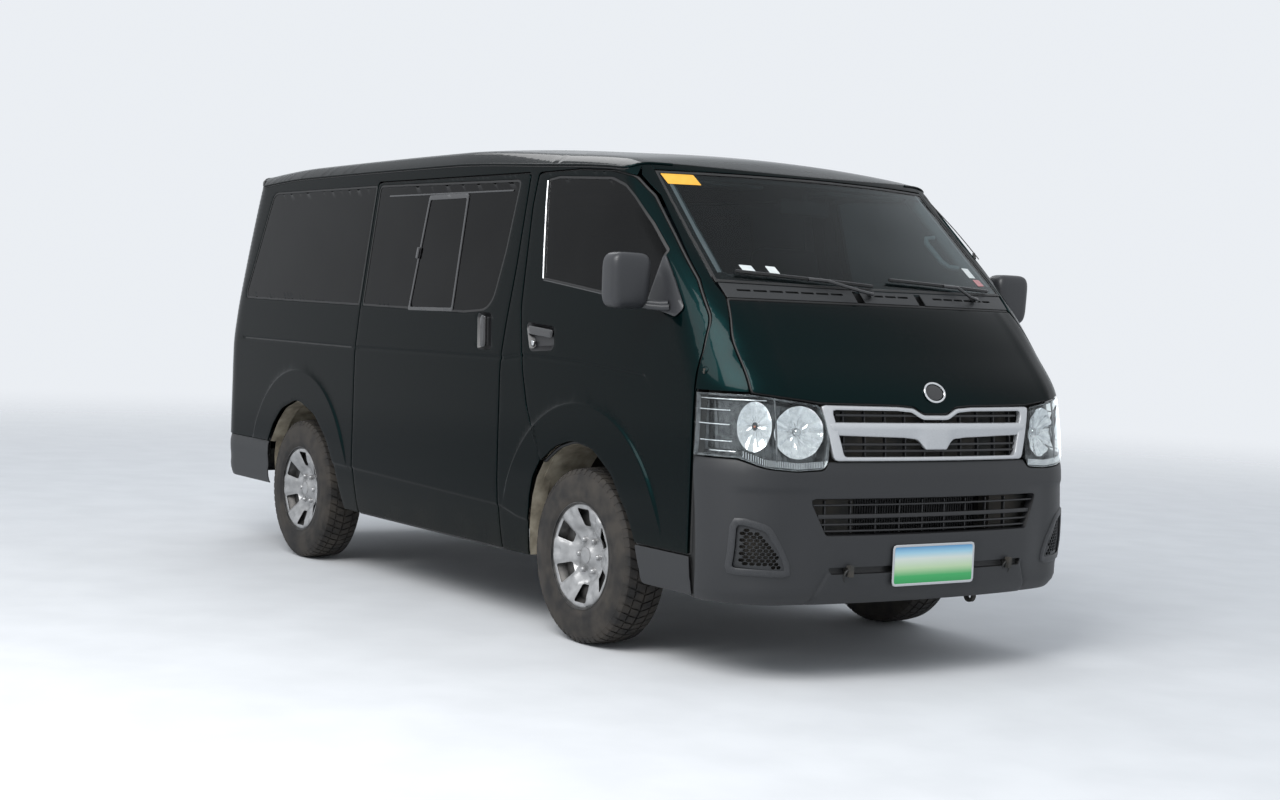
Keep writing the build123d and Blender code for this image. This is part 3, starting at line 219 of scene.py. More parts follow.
def skin_point(s, z, out=0.0):
    """The point on the body a distance s round from the middle of the front, positive to the left."""
    p, side, s = Plan(z), np.where(s < 0, -1.0, 1.0), np.abs(s)
    bow_angle = s / p.bow
    corner_angle = p.turn + (s - p.bow_end) / p.corner
    rear_corner_angle = (s - p.side_end) / p.rear_corner
    rear_bow_angle = p.rear_turn - (s - p.rear_corner_end) / p.rear_bow
    stretches = [s < p.bow_end, s < p.corner_end, s < p.side_end, s < p.rear_corner_end]
    x = np.select(stretches, [p.front - p.bow + (p.bow + out) * np.cos(bow_angle),
                              p.corner_x + (p.corner + out) * np.cos(corner_angle),
                              p.corner_x - (s - p.corner_end),
                              p.rear_corner_x - (p.rear_corner + out) * np.sin(rear_corner_angle)],
                  p.rear + p.rear_bow - (p.rear_bow + out) * np.cos(rear_bow_angle))
    y = np.select(stretches, [(p.bow + out) * np.sin(bow_angle),
                              p.half - p.corner + (p.corner + out) * np.sin(corner_angle), p.half + out,
                              p.half - p.rear_corner + (p.rear_corner + out) * np.cos(rear_corner_angle)],
                  (p.rear_bow + out) * np.sin(rear_bow_angle))
    return np.stack([x, y * side, z], -1)


def round_from_x(x, z):
    """Distance round the body of a point seen from the side."""
    p = Plan(z)
    corner_angle = np.arccos(np.clip((x - p.corner_x) / p.corner, -1, 1))
    bow_angle = np.arccos(np.clip((x - p.front + p.bow) / p.bow, -1, 1))
    rear_angle = np.arcsin(np.clip((p.rear_corner_x - x) / p.rear_corner, 0, 1))
    ahead = np.where(corner_angle >= p.turn, p.bow_end + p.corner * (corner_angle - p.turn),
                     p.bow * bow_angle)
    behind = p.side_end + p.rear_corner * np.minimum(rear_angle, np.pi / 2 - p.rear_turn)
    return np.where(x > p.corner_x, ahead, np.where(x > p.rear_corner_x, p.corner_end + p.corner_x - x,
                                                    behind))


def round_from_y(y, z):
    """Distance round the body of a point seen from the front."""
    p = Plan(z)
    corner_angle = np.arcsin(np.clip((np.abs(y) - p.half + p.corner) / p.corner, -1, 1))
    on_bow = p.bow * np.arcsin(np.clip(np.abs(y) / p.bow, 0, 1))
    on_corner = p.bow_end + p.corner * np.maximum(corner_angle - p.turn, 0)
    return np.sign(y) * np.where(np.abs(y) < p.bow * np.sin(p.turn), on_bow, on_corner)


def round_from_y_behind(y, z):
    """Distance round the body from the middle of the rear, for a point seen from behind."""
    p = Plan(z)
    corner_angle = np.arccos(np.clip((np.abs(y) - p.half + p.rear_corner) / p.rear_corner, 0, 1))
    on_bow = p.rear_bow * np.arcsin(np.clip(np.abs(y) / p.rear_bow, 0, 1))
    round_corner = p.rear_corner * np.minimum(corner_angle, np.pi / 2 - p.rear_turn)
    on_corner = p.rear_corner_end - p.side_end - round_corner + p.rear_bow * p.rear_turn
    return np.sign(y) * np.where(np.abs(y) < p.rear_bow * np.sin(p.rear_turn), on_bow, on_corner)


def whole_way(z):
    """Distance round the body from the middle of the front to the middle of the rear."""
    p = Plan(z)
    return p.rear_corner_end + p.rear_bow * p.rear_turn


def rounded(rows, step=14.0):
    """A closed outline with rounded corners: each row is two coordinates and, if wanted, a corner radius."""
    points = [np.array(row[:2], float) for row in rows]
    radii = [row[2] if len(row) > 2 else 0.0 for row in rows]
    path = []
    for before, here, after, radius in zip(points[-1:] + points[:-1], points, points[1:] + points[:1], radii):
        to_before, to_after = before - here, after - here
        la, lb = np.hypot(*to_before), np.hypot(*to_after)
        half_angle = math.acos(np.clip(to_before @ to_after / (la * lb), -1, 1)) / 2
        cut = min(radius / max(math.tan(half_angle), 1e-4), 0.48 * la, 0.48 * lb)
        if cut < 0.5:
            path.append(here)
            continue
        start, end = here + to_before / la * cut, here + to_after / lb * cut
        count = max(3, int(np.hypot(*(end - start)) / step) + 2)
        for t in np.linspace(0, 1, count):
            path.append(start * (1 - t) ** 2 + here * 2 * t * (1 - t) + end * t * t)
    return np.array(path)


def dense(path, step=14.0, closed=True):
    """The same path with points no further apart than step."""
    result = []
    ends = np.roll(path, -1, axis=0) if closed else path[1:]
    for a, b in zip(path, ends):
        count = max(1, int(math.ceil(np.hypot(*(b - a)) / step)))
        for k in range(count):
            result.append(a + (b - a) * k / count)
    if not closed:
        result.append(path[-1])
    return np.array(result)


def cleaned(loop, least, step):
    """A closed path without points that nearly coincide, and with none further apart than step."""
    return dense(loop[np.hypot(*(loop - np.roll(loop, 1, axis=0)).T) > least], step)


def signed_area(path):
    """Twice the area inside a closed path, positive where it runs counter-clockwise."""
    ahead = np.roll(path, -1, axis=0)
    return np.sum(path[:, 0] * ahead[:, 1] - ahead[:, 0] * path[:, 1])


def widened(path, amount):
    """A closed path moved outward by an amount, or inward by a negative one."""
    ahead, behind = np.roll(path, -1, axis=0), np.roll(path, 1, axis=0)
    n1 = np.stack([(ahead - path)[:, 1], -(ahead - path)[:, 0]], -1)
    n2 = np.stack([(path - behind)[:, 1], -(path - behind)[:, 0]], -1)
    n1 /= np.maximum(np.hypot(*n1.T), 1e-9)[:, None]
    n2 /= np.maximum(np.hypot(*n2.T), 1e-9)[:, None]
    share = amount / np.maximum(1 + np.sum(n1 * n2, -1), 0.4)
    return path + (n1 + n2) * share[:, None] * (1 if signed_area(path) > 0 else -1)


def unrolled(view, path):
    """A path's points as distance round the body and height."""
    u, z = np.array(path, float).T
    ways = {"right": lambda: -round_from_x(u, z), "left": lambda: round_from_x(u, z),
            "front": lambda: round_from_y(u, z), "rear": lambda: round_from_y_behind(u, z)}
    return np.stack([ways[view](), z], -1)


def within(points, loops):
    """Which points lie inside the loops, counting a loop in a loop as a hole."""
    inside = np.zeros(len(points), bool)
    for loop in loops:
        for a, b in zip(loop, np.roll(loop, -1, axis=0)):
            if a[1] == b[1]:
                continue
            crosses = (a[1] > points[:, 1]) != (b[1] > points[:, 1])
            inside ^= crosses & (points[:, 0] < (b[0] - a[0]) * (points[:, 1] - a[1]) / (b[1] - a[1]) + a[0])
    return inside


def filled(loops, grid, extra=None):
    """Points, triangles and the outline points' new numbers, for closed loops with grid points inside."""
    edge_points = np.concatenate(loops)
    low, high = edge_points.min(0), edge_points.max(0)
    gx, gz = np.meshgrid(np.arange(low[0] + grid / 2, high[0], grid),
                         np.arange(low[1] + grid / 2, high[1], grid))
    inner = np.stack([gx.ravel(), gz.ravel()], -1)
    inner = inner[within(inner, loops)]

    def apart(points, others, least):
        keep = np.ones(len(points), bool)
        for start in range(0, len(points), 2000):
            part = points[start:start + 2000]
            gaps = part[:, None] - others[None]
            keep[start:start + 2000] = np.min(gaps[..., 0] ** 2 + gaps[..., 1] ** 2, 1) > least * least
        return points[keep]

    inner = apart(inner, edge_points, grid * 0.4)
    if extra is not None and len(extra):
        extra = extra[within(extra, loops)]
        if len(extra):
            extra = apart(extra, edge_points, 7.0)
        if len(extra):
            inner = np.concatenate([apart(inner, extra, grid * 0.45), extra])
    points = np.concatenate([edge_points, inner])
    edges = []
    start = 0
    for loop in loops:
        edges += [(start + k, start + (k + 1) % len(loop)) for k in range(len(loop))]
        start += len(loop)
    made, _, faces, origin, _, _ = delaunay_2d_cdt([Vector(p) for p in points], edges, [], 0, 0.001)
    order = {old: new for new, olds in enumerate(origin) for old in olds}
    made = np.array([tuple(p) for p in made])
    faces = np.array([tuple(f) for f in faces])
    faces = faces[within(made[faces].mean(1), loops)]
    a, b, c = made[faces[:, 0]], made[faces[:, 1]], made[faces[:, 2]]
    area = (b[:, 0] - a[:, 0]) * (c[:, 1] - a[:, 1]) - (b[:, 1] - a[:, 1]) * (c[:, 0] - a[:, 0])
    faces[area < 0] = faces[area < 0][:, ::-1]
    return made, faces[np.abs(area) > 1e-3], order


def sheet_mesh(name, loops, to_point, thick=8.0, edge=1.2, grid=24.0, extra=None, flip=False):
    """A sheet piece with rounded rims; to_point turns the outlines' coordinates and a depth to places."""
    is_hole = [bool(within(loop[:1], loops[:k] + loops[k + 1:])[0]) for k, loop in enumerate(loops)]
    shrunk = [widened(loop, edge if hole else -edge) for loop, hole in zip(loops, is_hole)]
    points, faces, order = filled(shrunk, grid, extra)
    count = len(points)
    outer, inner = to_point(points, 0.0), to_point(points, thick)
    places, polys = [outer, inner], [tuple(f) for f in faces] + [tuple(f[::-1] + count) for f in faces]
    start, first = 2 * count, 0
    for loop, small, hole in zip(loops, shrunk, is_hole):
        places.append(to_point(loop, edge * 0.9))
        ids = [order[first + i] for i in range(len(loop))]
        outward = (signed_area(small) > 0) != hole
        for i in range(len(loop)):
            j = (i + 1) % len(loop)
            quads = [(ids[i], start + i, start + j, ids[j]),
                     (start + i, ids[i] + count, ids[j] + count, start + j)]
            polys += quads if outward else [q[::-1] for q in quads]
        start, first = start + len(loop), first + len(loop)
    if flip:
        polys = [tuple(reversed(poly)) for poly in polys]
    made = plain_mesh(name, np.concatenate(places) / 1000, polys)
    made.data.shade_smooth()
    made.data.set_sharp_from_angle(angle=math.radians(62))
    made.modifiers.new("even_normals", "WEIGHTED_NORMAL").keep_sharp = True
    return made


def on_skin(out=0.0, relief=None, behind=False):
    """A rule that turns distance round the body, height and depth into a place."""
    def to_point(points, depth):
        s, z = points[:, 0], points[:, 1]
        if behind:
            s = np.where(s < 0, -1.0, 1.0) * (whole_way(z) - np.abs(s))
        lift = out
        if relief is not None:
            base = skin_point(s, z)
            lift = out + relief(base[:, 0], base[:, 1], z)
        return skin_point(s, z, lift - depth)
    return to_point


def fitted(made, look, slot, *stands_for, body="van_body"):
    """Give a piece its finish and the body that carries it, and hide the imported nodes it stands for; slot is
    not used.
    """
    made.data.materials.append(look)
    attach(made, body)
    if stands_for:
        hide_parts(*stands_for)
    return made


paint = finish_look("dark_green_paint", (0.0005, 0.0056, 0.0062), (0.0012, 0.0125, 0.0128), 900,
                    (0.28, 0.36), Metallic=0.85, Coat_Weight=0.5, Coat_Roughness=0.05, Coat_IOR=1.25,
                    Specular_IOR_Level=0.2, Specular_Tint=(0.03, 0.07, 0.08, 1))
tree = paint.node_tree
surface_place = tree.nodes["Texture Coordinate"].outputs["Object"]
height_of = add_node(tree, "SeparateXYZ", {0: surface_place})
dust_band = add_node(tree, "MapRange", {"Value": height_of.outputs["Z"]},
                     {"From Min": 0.5, "From Max": 0.26, "To Max": 0.5})
dust_cloud = add_node(tree, "TexNoise", {"Vector": surface_place}, {"Scale": 9.0})
dust_share = add_node(tree, "Math", {0: dust_band.outputs["Result"], 1: dust_cloud.outputs["Fac"]},
                      operation="MULTIPLY")
dusty = add_node(tree, "Mix", {"Factor": dust_share.outputs[0],
                               "A": tree.nodes["Color Ramp"].outputs["Color"]},
                 {"B": (0.09, 0.075, 0.055, 1)}, data_type="RGBA")
tree.links.new(dusty.outputs["Result"], tree.nodes["Principled BSDF"].inputs["Base Color"])

# x, crown height, drop of the crown at its shoulder, drop of the roof at its edge
roof_sections = np.array([(-2500, 1918, 38, 108), (-1500, 1970, 38, 118), (0, 1980, 38, 125),
                          (810, 1939, 36, 100), (1290, 1897, 30, 76), (1590, 1812, 24, 44),
                          (2000, 1660, 24, 44), (2500, 1480, 24, 44)], float)
roof_xs = np.arange(-2400.0, 1700.0, 5.0)
roof_table = eased(roof_sections, roof_xs)
shoulder_y, roof_edge_y = 640.0, 756.0


def roof_height(x, y):
    """The height of the roof, from its crowned middle over its shoulders to its edges."""
    crown, drop, total = [np.interp(x, roof_xs, roof_table[:, i]) for i in range(3)]
    y = np.abs(y)
    middle = crown - drop * (y / shoulder_y) ** 2
    slope = 2 * drop / shoulder_y
    width = roof_edge_y - shoulder_y
    t = np.clip((y - shoulder_y) / width, 0, 1.2)
    outer = crown - drop - slope * width * t - (total - drop - slope * width) * t ** 3
    return np.where(y < shoulder_y, middle, outer)


def rim_height(s):
    """The height at which the body's walls meet the roof, by distance round from the front."""
    low, high = np.full_like(s, 1700.0), np.full_like(s, 2000.0)
    for _ in range(30):
        middle = (low + high) / 2
        at = skin_point(s, middle)
        above = roof_height(at[:, 0], at[:, 1]) > middle
        low, high = np.where(above, middle, low), np.where(above, high, middle)
    return low


def rim_path(start, end):
    """The rim between two distances round the body."""
    s = np.linspace(start, end, max(3, int(abs(end - start) / 18)))
    return np.stack([s, rim_height(s)], -1)


front_wheel_x, rear_wheel_x, wheel_z = 1272.5, -1297.5, 338.0


def step_up(x, low, high):
    """A smooth step from 0 at low to 1 at high."""
    t = np.clip((x - low) / (high - low), 0, 1)
    return t * t * (3 - 2 * t)


def belt_z(x):
    """The height of the belt groove under the side windows."""
    return np.interp(x, [-2100, -684, 676, 823, 1245, 1655, 1990], [1056, 1055, 1066, 1083, 1073, 1044, 1015])


def crease_z(x):
    """The height of the crease above the sills."""
    return np.interp(x, [-1700, -870, 686, 828, 1000], [540, 503, 475, 444, 430])


def side_relief(x, y, z):
    """Pressed lines of the body sides: belt groove, low crease and raised lips over the wheels."""
    on_side = step_up(-np.abs(x), -2130, -1960) * (np.abs(y) > 700)
    groove = -5.0 * np.exp(-((z - belt_z(x)) / 6.0) ** 2) * (x < 1700) * (x > -2020)
    low = -6.0 * step_up(crease_z(x) - z, 0, 10) * (x < 960) * (x > -1700)
    lift = 0.0
    for wheel in (front_wheel_x, rear_wheel_x):
        r = np.hypot(x - wheel, (z - wheel_z) * 0.985)
        lift = lift + 9.0 * step_up(584 - r, 0, 12) * step_up(z, 470, 640)
    return on_side * (groove + low + lift)


def relief_points():
    """Extra points along the pressed lines, so that the sheet folds there."""
    rows = []
    for x in np.arange(-2020, 1700, 16.0):
        rows += [(x, belt_z(x) + d) for d in (-14, -8, -4, 0, 4, 8, 14)]
    for x in np.arange(-1700, 960, 16.0):
        rows += [(x, crease_z(x) + d) for d in (-12, -6, 0, 4)]
    for wheel in (front_wheel_x, rear_wheel_x):
        for turn in np.arange(0.15, math.pi - 0.15, 0.026):
            rows += [(wheel + r * math.cos(turn), wheel_z + r * math.sin(turn))
                     for r in (570, 574, 579, 584, 588)]
    return np.array(rows)


folds = relief_points()
quarter_rows = [(-1885, 1806, 70), (-2059, 1262, 40), (-708, 1252, 12), (-704, 1808, 12)]
left_glass_rows = [(-672, 1808, 12), (-672, 1252, 12), (612, 1250, 40), (640, 1802, 30)]
quarter_path = dense(rounded(quarter_rows))
left_glass_path = dense(rounded(left_glass_rows))
both_sides = ((-1, "right"), (1, "left"))

rear_arch_rows = [(-1650, 543), (-1572, 640, 200), (-1474, 723, 200), (-1292, 780, 200), (-1088, 716, 200),
                  (-955, 613, 200), (-885, 492, 200), (-790, 293)]
front_arch_back = [(893, 293), (903, 410, 100), (921, 531, 100), (951, 612, 80), (1003, 680)]
door_back_edge = [(929, 775, 150), (870, 889, 200), (816, 1070, 300), (757, 1280, 300), (730, 1682, 300),
                  (743, 1822, 25), (1045, 1825.5, 200), (1284, 1813.5, 200), (1429, 1788)]
sliding_opening = [(-645, 293), (-689, 508, 60), (-695, 1827, 22), (687, 1824, 22), (681, 1440, 200),
                   (656, 1089, 200), (665, 576, 200), (693, 293)]
rear_edge = [(-545, 1899), (-563, 1873, 40), (-603, 1788, 60), (-646, 1256)]
lamp_edge = [(-672, 757), (-668, 700), (-646, 549)]


def open_path(rows):
    """A path that isn't closed, with its inner corners rounded."""
    return dense(rounded(rows), closed=False)


def rear_part(rows, side):
    """A path seen from behind, turned into distance round from the front."""
    path = open_path(rows)
    path[:, 0] = np.abs(path[:, 0])
    z = path[:, 1]
    t = round_from_y_behind(path[:, 0], z)
    return np.stack([side * (whole_way(z) - t), z], -1)


for side, view in both_sides:
    front_top = unrolled(view, [(1438, 1806)])[0, 0]
    rear_top = rear_part([(-545, 1900), (-545, 1899)], side)[0, 0]
    parts = [rim_path(front_top, rear_top), rear_part(rear_edge, side),
             unrolled(view, [(-2199.0, z) for z in np.linspace(1254, 757, 14)]), rear_part(lamp_edge, side),
             unrolled(view, [(-2180, 549), (-1656, 549)]), unrolled(view, open_path(rear_arch_rows))]
    if side < 0:
        parts.append(unrolled(view, open_path(sliding_opening)))
    parts += [unrolled(view, open_path(front_arch_back)), unrolled(view, open_path(door_back_edge))]
    holes = [widened(quarter_path, 3)] + ([widened(left_glass_path, 3)] if side > 0 else [])
    loops = [cleaned(np.concatenate(parts), 2, 18)] + [unrolled(view, hole) for hole in holes]
    fitted(sheet_mesh("body_side_" + view, loops, on_skin(0, side_relief), extra=unrolled(view, folds)),
           paint, "body_paint", "side_wall_" + view)

# Front doors: a pressed steel skin each side, hung at its front edge and hemmed round its rim, with openings
# for the glass and for the handle's cup. The belt groove runs on through them from the body side.
half_gap = 2.6
door_rows = [(748, 1817, 25), (735, 1682, 300), (762, 1280, 300), (821, 1069, 300), (875, 887, 300),
             (934, 773, 150), (1009, 677, 8), (1111, 742, 200), (1229, 774, 200), (1370, 757, 200),
             (1512, 670, 150), (1609, 545, 150), (1667, 437, 8), (2001, 437, 8), (2001, 1006, 300),
             (1996, 1145, 150), (1976, 1262, 120), (1866, 1399, 200), (1702, 1554, 200), (1534, 1709, 80),
             (1427, 1782, 120), (1284, 1808, 200), (1045, 1820, 200)]
door_window_rows = [(821, 1788, 12), (864, 1547, 200), (897, 1389, 10), (1126, 1365, 200), (1343, 1341, 200),
                    (1642, 1300, 6), (1716, 1505, 8), (1605, 1603, 200), (1469, 1704, 100), (1391, 1752, 80),
                    (1291, 1782, 100), (904, 1798, 100)]
door_path = dense(rounded(door_rows))
handle_path = rounded([(818, 1218, 18), (1032, 1206, 18), (1052, 1112, 30), (872, 1102, 34)], 8)
window_path = dense(rounded(door_window_rows))


def skin_panel(name, view, loops, look, slot, grid, out=0.0, relief=None, extra=None, thick=8.0,
               edge=1.2, body="van_body"):
    """A sheet piece on the body's own shape, from outlines in one view."""
    flat = [unrolled(view, loop) for loop in loops]
    more = unrolled(view, extra) if extra is not None else None
    made = sheet_mesh(name, flat, on_skin(out, relief, view == "rear"), thick, edge, grid, more,
                      view == "rear")
    return fitted(made, look, slot, body=body)


for view in ("right", "left"):
    door = skin_panel("door_panel_" + view, view,
                      [widened(door_path, -half_gap), widened(window_path, 3), handle_path], paint,
                      "body_paint", 24, relief=side_relief, extra=folds, thick=12, body="door_" + view)
    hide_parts("door_front_" + view)

# Sliding door: a long pressed steel skin on the right side that hangs on three rollers, with one big window
# opening and an upright cup for its handle. It stays shut.
sliding_rows = [(-690, 1822, 22), (-684, 508, 60), (-640, 294, 14), (688, 294, 8), (660, 576, 200),
                (651, 1089, 200), (676, 1440, 200), (682, 1819, 22)]
sliding_glass_rows = [(-672, 1808, 30), (-672, 1252, 12), (300, 1243, 120), (520, 1258, 120),
                      (575, 1500, 300), (612, 1794, 26)]
slide_handle_path = rounded([(414, 1246, 18), (530, 1246, 18), (566, 1096, 18), (450, 1094, 18)], 8)
sliding_path = dense(rounded(sliding_rows))
sliding_glass_path = dense(rounded(sliding_glass_rows))
sliding = skin_panel("sliding_door_panel", "right",
                     [widened(sliding_path, -half_gap), widened(sliding_glass_path, 3), slide_handle_path],
                     paint, "body_paint", 24, relief=side_relief, extra=folds, thick=12)
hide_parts("sliding_door")

# Front pillars and wings: one steel pressing each side, from the lamp up beside the windscreen to the roof,
# spot welded to a header over the windscreen, with another header over the tailgate.
for side, view in both_sides:
    lower = [(2007, 1018), (2007, 1006, 200), (2002, 1147, 150), (1982, 1265, 120), (1871, 1403, 200),
             (1706, 1559, 200), (1538, 1714, 80), (1440, 1790)]
    inner = [(666, 1814), (709, 1396, 4), (697, 1340, 4), (741, 1200, 150), (748, 1018)]
    path = open_path(inner)
    path[:, 0] *= side
    pillar_top = unrolled(view, [(1442, 1800)])[0, 0]
    screen_top = unrolled("front", [(side * 666, 1830)])[0, 0]
    loop = np.concatenate([unrolled(view, open_path(lower)), rim_path(pillar_top, screen_top),
                           unrolled("front", path)])
    loop = cleaned(loop, 2, 18)
    fitted(sheet_mesh("wing_" + view, [loop], on_skin(), grid=20), paint, "body_paint")
screen_right = unrolled("front", [(-666, 1830)])[0, 0]
header_low = open_path([(666, 1815), (400, 1817, 400), (0, 1819, 400), (-400, 1817, 400), (-666, 1815)])
header_loop = dense(np.concatenate([rim_path(screen_right, -screen_right), unrolled("front", header_low)]),
                    18)
fitted(sheet_mesh("windscreen_header", [header_loop], on_skin(), grid=16), paint, "body_paint")
rear_rim_y = np.linspace(-545, 545, 70)
rear_rim = unrolled("rear", np.stack([rear_rim_y, np.full_like(rear_rim_y, 1900)], -1))
way_round = whole_way(rear_rim[:, 1]) - np.abs(rear_rim[:, 0])
rear_rim[:, 1] = rim_height(np.where(rear_rim[:, 0] < 0, -1, 1) * way_round)
gate_top = open_path([(563, 1873), (480, 1882, 100), (-480, 1882, 100), (-563, 1873)])
fitted(sheet_mesh("tailgate_header", [dense(np.concatenate([rear_rim, unrolled("rear", gate_top)]), 18)],
                  on_skin(behind=True), grid=16, flip=True), paint, "body_paint")

# Roof: one long steel pressing, crowned across and dropping to the windscreen, with shallow ribs across it
# that stiffen it. It is welded to the body sides under the rain gutters.
total = whole_way(np.array([1930.0]))[0]
half_rim = np.linspace(0, total - 1, 220)
rim_s = np.concatenate([-half_rim[::-1], half_rim[1:]])
roof_loop = skin_point(rim_s, rim_height(rim_s))[:, :2]
roof_loop = cleaned(roof_loop, 4, 22)[::-1]
rib_xs = (-1900, -1500, -1100, -700, -300, 100, 500, 900)
rib_rows = np.array([(x + d, y) for x in rib_xs for d in (-26, -18, 0, 18, 26)
                     for y in np.arange(-600, 601, 40)])


def on_roof(points, depth):
    """The place on the ribbed roof over a point of the plan, a depth below its face."""
    x, y = points[:, 0], points[:, 1]
    ribs = sum(np.exp(-((x - at) / 16.0) ** 4) for at in rib_xs)
    z = roof_height(x, y) - 3.0 * ribs * step_up(620 - np.abs(y), 0, 40) - depth - 0.4
    return np.stack([x, y, z], -1)


if signed_area(roof_loop) < 0:
    roof_loop = roof_loop[::-1]
fitted(sheet_mesh("roof_skin", [roof_loop], on_roof, grid=30, extra=rib_rows), paint, "body_paint",
       "roof_panel")

# Rain gutters: a rolled steel strip that follows the roof's edge from pillar to pillar on each side, painted
# with the body, with a bead of black sealer in the corner below it.
black_look = finish_look("black_rubber", (0.006, 0.006, 0.006), (0.012, 0.012, 0.012), 120, (0.45, 0.6), 0.1)


def tube(name, paths, radius, look, slot, closed=False, resolution=3, body="van_body"):
    """Round bars or beads along paths given in millimetres."""
    curve = bpy.data.curves.new(name, "CURVE")
    curve.dimensions = "3D"
    curve.bevel_depth = radius / 1000
    curve.bevel_resolution = resolution
    curve.use_fill_caps = True
    for path in paths:
        spline = curve.splines.new("POLY")
        spline.points.add(len(path) - 1)
        places = np.array(path, float) / 1000
        spline.points.foreach_set("co", np.concatenate([places, np.ones((len(path), 1))], 1).ravel())
        spline.use_cyclic_u = closed
    made = bpy.data.objects.new(name, curve)
    bpy.context.scene.collection.objects.link(made)
    return fitted(made, look, slot, body=body)


gutter_paths = []
for view in ("right", "left"):
    ends = unrolled(view, [(1480, 1800), (-2120, 1850)])[:, 0]
    line = rim_path(*ends)
    gutter_paths.append(skin_point(line[:, 0], line[:, 1] - 4.0, 1.5))
tube("rain_gutter", gutter_paths, 4.5, paint, "body_paint")
tube("gutter_seal", [path - np.array([0, 0, 7.0]) for path in gutter_paths], 2.6, black_look, "black_plastic")

# Side and rear windows: curved tempered panes set almost flush, clear in the front doors and dark behind
# them, each held in a black rubber seal. One pane each side has a small slider in a black painted frame.
def glass_look(name, dark, light, scale=3.0, rough=(0.012, 0.02)):
    """Tinted glass: it lets a tinted share of the light through and mirrors the rest."""
    mat = finish_look(name, (0.0, 0.0, 0.0), (0.002, 0.002, 0.002), scale, rough, IOR=1.2)
    tree = mat.node_tree
    tint = add_node(tree, "ValToRGB", {"Fac": tree.nodes["Noise Texture"].outputs["Fac"]})
    for stop, colour in zip(tint.color_ramp.elements, (dark, light)):
        stop.color = (*colour, 1)
    through = add_node(tree, "BsdfTransparent", {"Color": tint.outputs["Color"]})
    both = add_node(tree, "AddShader", {0: through.outputs[0], 1: tree.nodes["Principled BSDF"].outputs[0]})
    tree.links.new(both.outputs[0], tree.nodes["Material Output"].inputs["Surface"])
    return mat


privacy = glass_look("privacy_glass", (0.045, 0.055, 0.06), (0.06, 0.07, 0.075))
door_tint = glass_look("door_glass_tint", (0.13, 0.15, 0.155), (0.16, 0.18, 0.185))
screen_tint = glass_look("screen_glass_tint", (0.46, 0.52, 0.53), (0.50, 0.56, 0.57))


def window(name, view, path, look, slot, *nodes, body="van_body"):
    """A pane with its rubber seal."""
    pane = skin_panel(name, view, [widened(path, -3)], look, slot, 40, -3.5, thick=2.5, edge=0.4, body=body)
    skin_panel(name + "_seal", view, [widened(path, 2.2), widened(path, -8)], black_look, "black_plastic", 40,
               -1.2, thick=9, edge=1, body=body)
    if nodes:
        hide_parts(*nodes)


window("sliding_pane", "right", sliding_glass_path, privacy, "dark_glass", "sliding_door_glass")
window("rear_pane_right", "right", quarter_path, privacy, "dark_glass", "side_glass")
window("rear_pane_left", "left", quarter_path, privacy, "dark_glass")
window("middle_pane_left", "left", left_glass_path, privacy, "dark_glass")
frame_out = rounded([(-168, 1751, 14), (190, 1752, 14), (196, 1244, 10), (-213, 1240, 10)])
frame_in = rounded([(-154, 1729, 10), (174, 1730, 10), (181, 1260, 8), (-197, 1256, 8)])
bar_rows = rounded([(-560, 1760, 4), (560, 1756, 4), (560, 1749, 4), (-560, 1753, 4)])
frame_look = finish_look("black_frame_paint", (0.010, 0.010, 0.011), (0.02, 0.02, 0.021), 200, (0.22, 0.3),
                         Coat_Weight=0.5)
for view in ("right", "left"):
    skin_panel("slider_frame_" + view, view, [dense(frame_out), dense(frame_in)], frame_look,
               "black_plastic", 40, 0.6, thick=9, edge=1.6)
    skin_panel("slider_header_" + view, view, [dense(bar_rows)], frame_look, "black_plastic",
               40, 0.2, thick=5, edge=1.2)
    skin_panel("slider_catch_" + view, view,
               [rounded([(-200, 1520, 6), (-176, 1520, 6), (-180, 1470, 6), (-203, 1470, 6)])], frame_look,
               "black_plastic", 20, 8, thick=9, edge=2.5)
chrome = finish_look("bright_chrome", (0.62, 0.63, 0.64), (0.74, 0.75, 0.76), 30, (0.05, 0.09), Metallic=1)
for view in ("right", "left"):
    door_body = "door_" + view
    window("front_door_pane_" + view, view, window_path, door_tint, "clear_glass",
           "door_glass_" + view, body=door_body)
    bright = unrolled(view, [(824, 1784), (838, 1690), (866, 1547), (884, 1460), (900, 1392)])
    tube("window_strip_" + view, [skin_point(bright[:, 0], bright[:, 1], 0.5)], 4.2, chrome, "silver_trim",
         body=door_body)
    sill = unrolled(view, [(905, 1386), (1126, 1362), (1343, 1338), (1500, 1318), (1640, 1298)])
    tube("window_sill_" + view, [skin_point(sill[:, 0], sill[:, 1], 0.2)], 2.6, frame_look, "black_plastic",
         body=door_body)

# Windscreen: laminated glass bonded into its opening, with a printed black band round its edge and a rubber
# moulding over the joint. Blank stickers are on its inner face in the top and bottom corners.
screen_path = dense(np.concatenate([
    open_path([(-699, 1399), (-350, 1394, 600), (0, 1391, 600), (350, 1394, 600), (699, 1399)]),
    open_path([(663, 1806), (350, 1810, 600), (0, 1812, 600), (-350, 1810, 600), (-663, 1806)])]))
screen = skin_panel("windscreen_pane", "front", [widened(screen_path, -2)], screen_tint,
                    "clear_glass", 40, -3, thick=3, edge=0.5)
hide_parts("windscreen")
band_in = rounded([(-664, 1426, 40), (-300, 1419, 600), (0, 1418, 600), (300, 1419, 600), (664, 1426, 40),
                   (634, 1776, 40), (300, 1783, 600), (0, 1785, 600), (-300, 1783, 600), (-634, 1776, 40)])
skin_panel("windscreen_band", "front", [widened(screen_path, -4), dense(band_in)], black_look,
           "black_plastic", 40, -6.3, thick=1.2, edge=0.3)
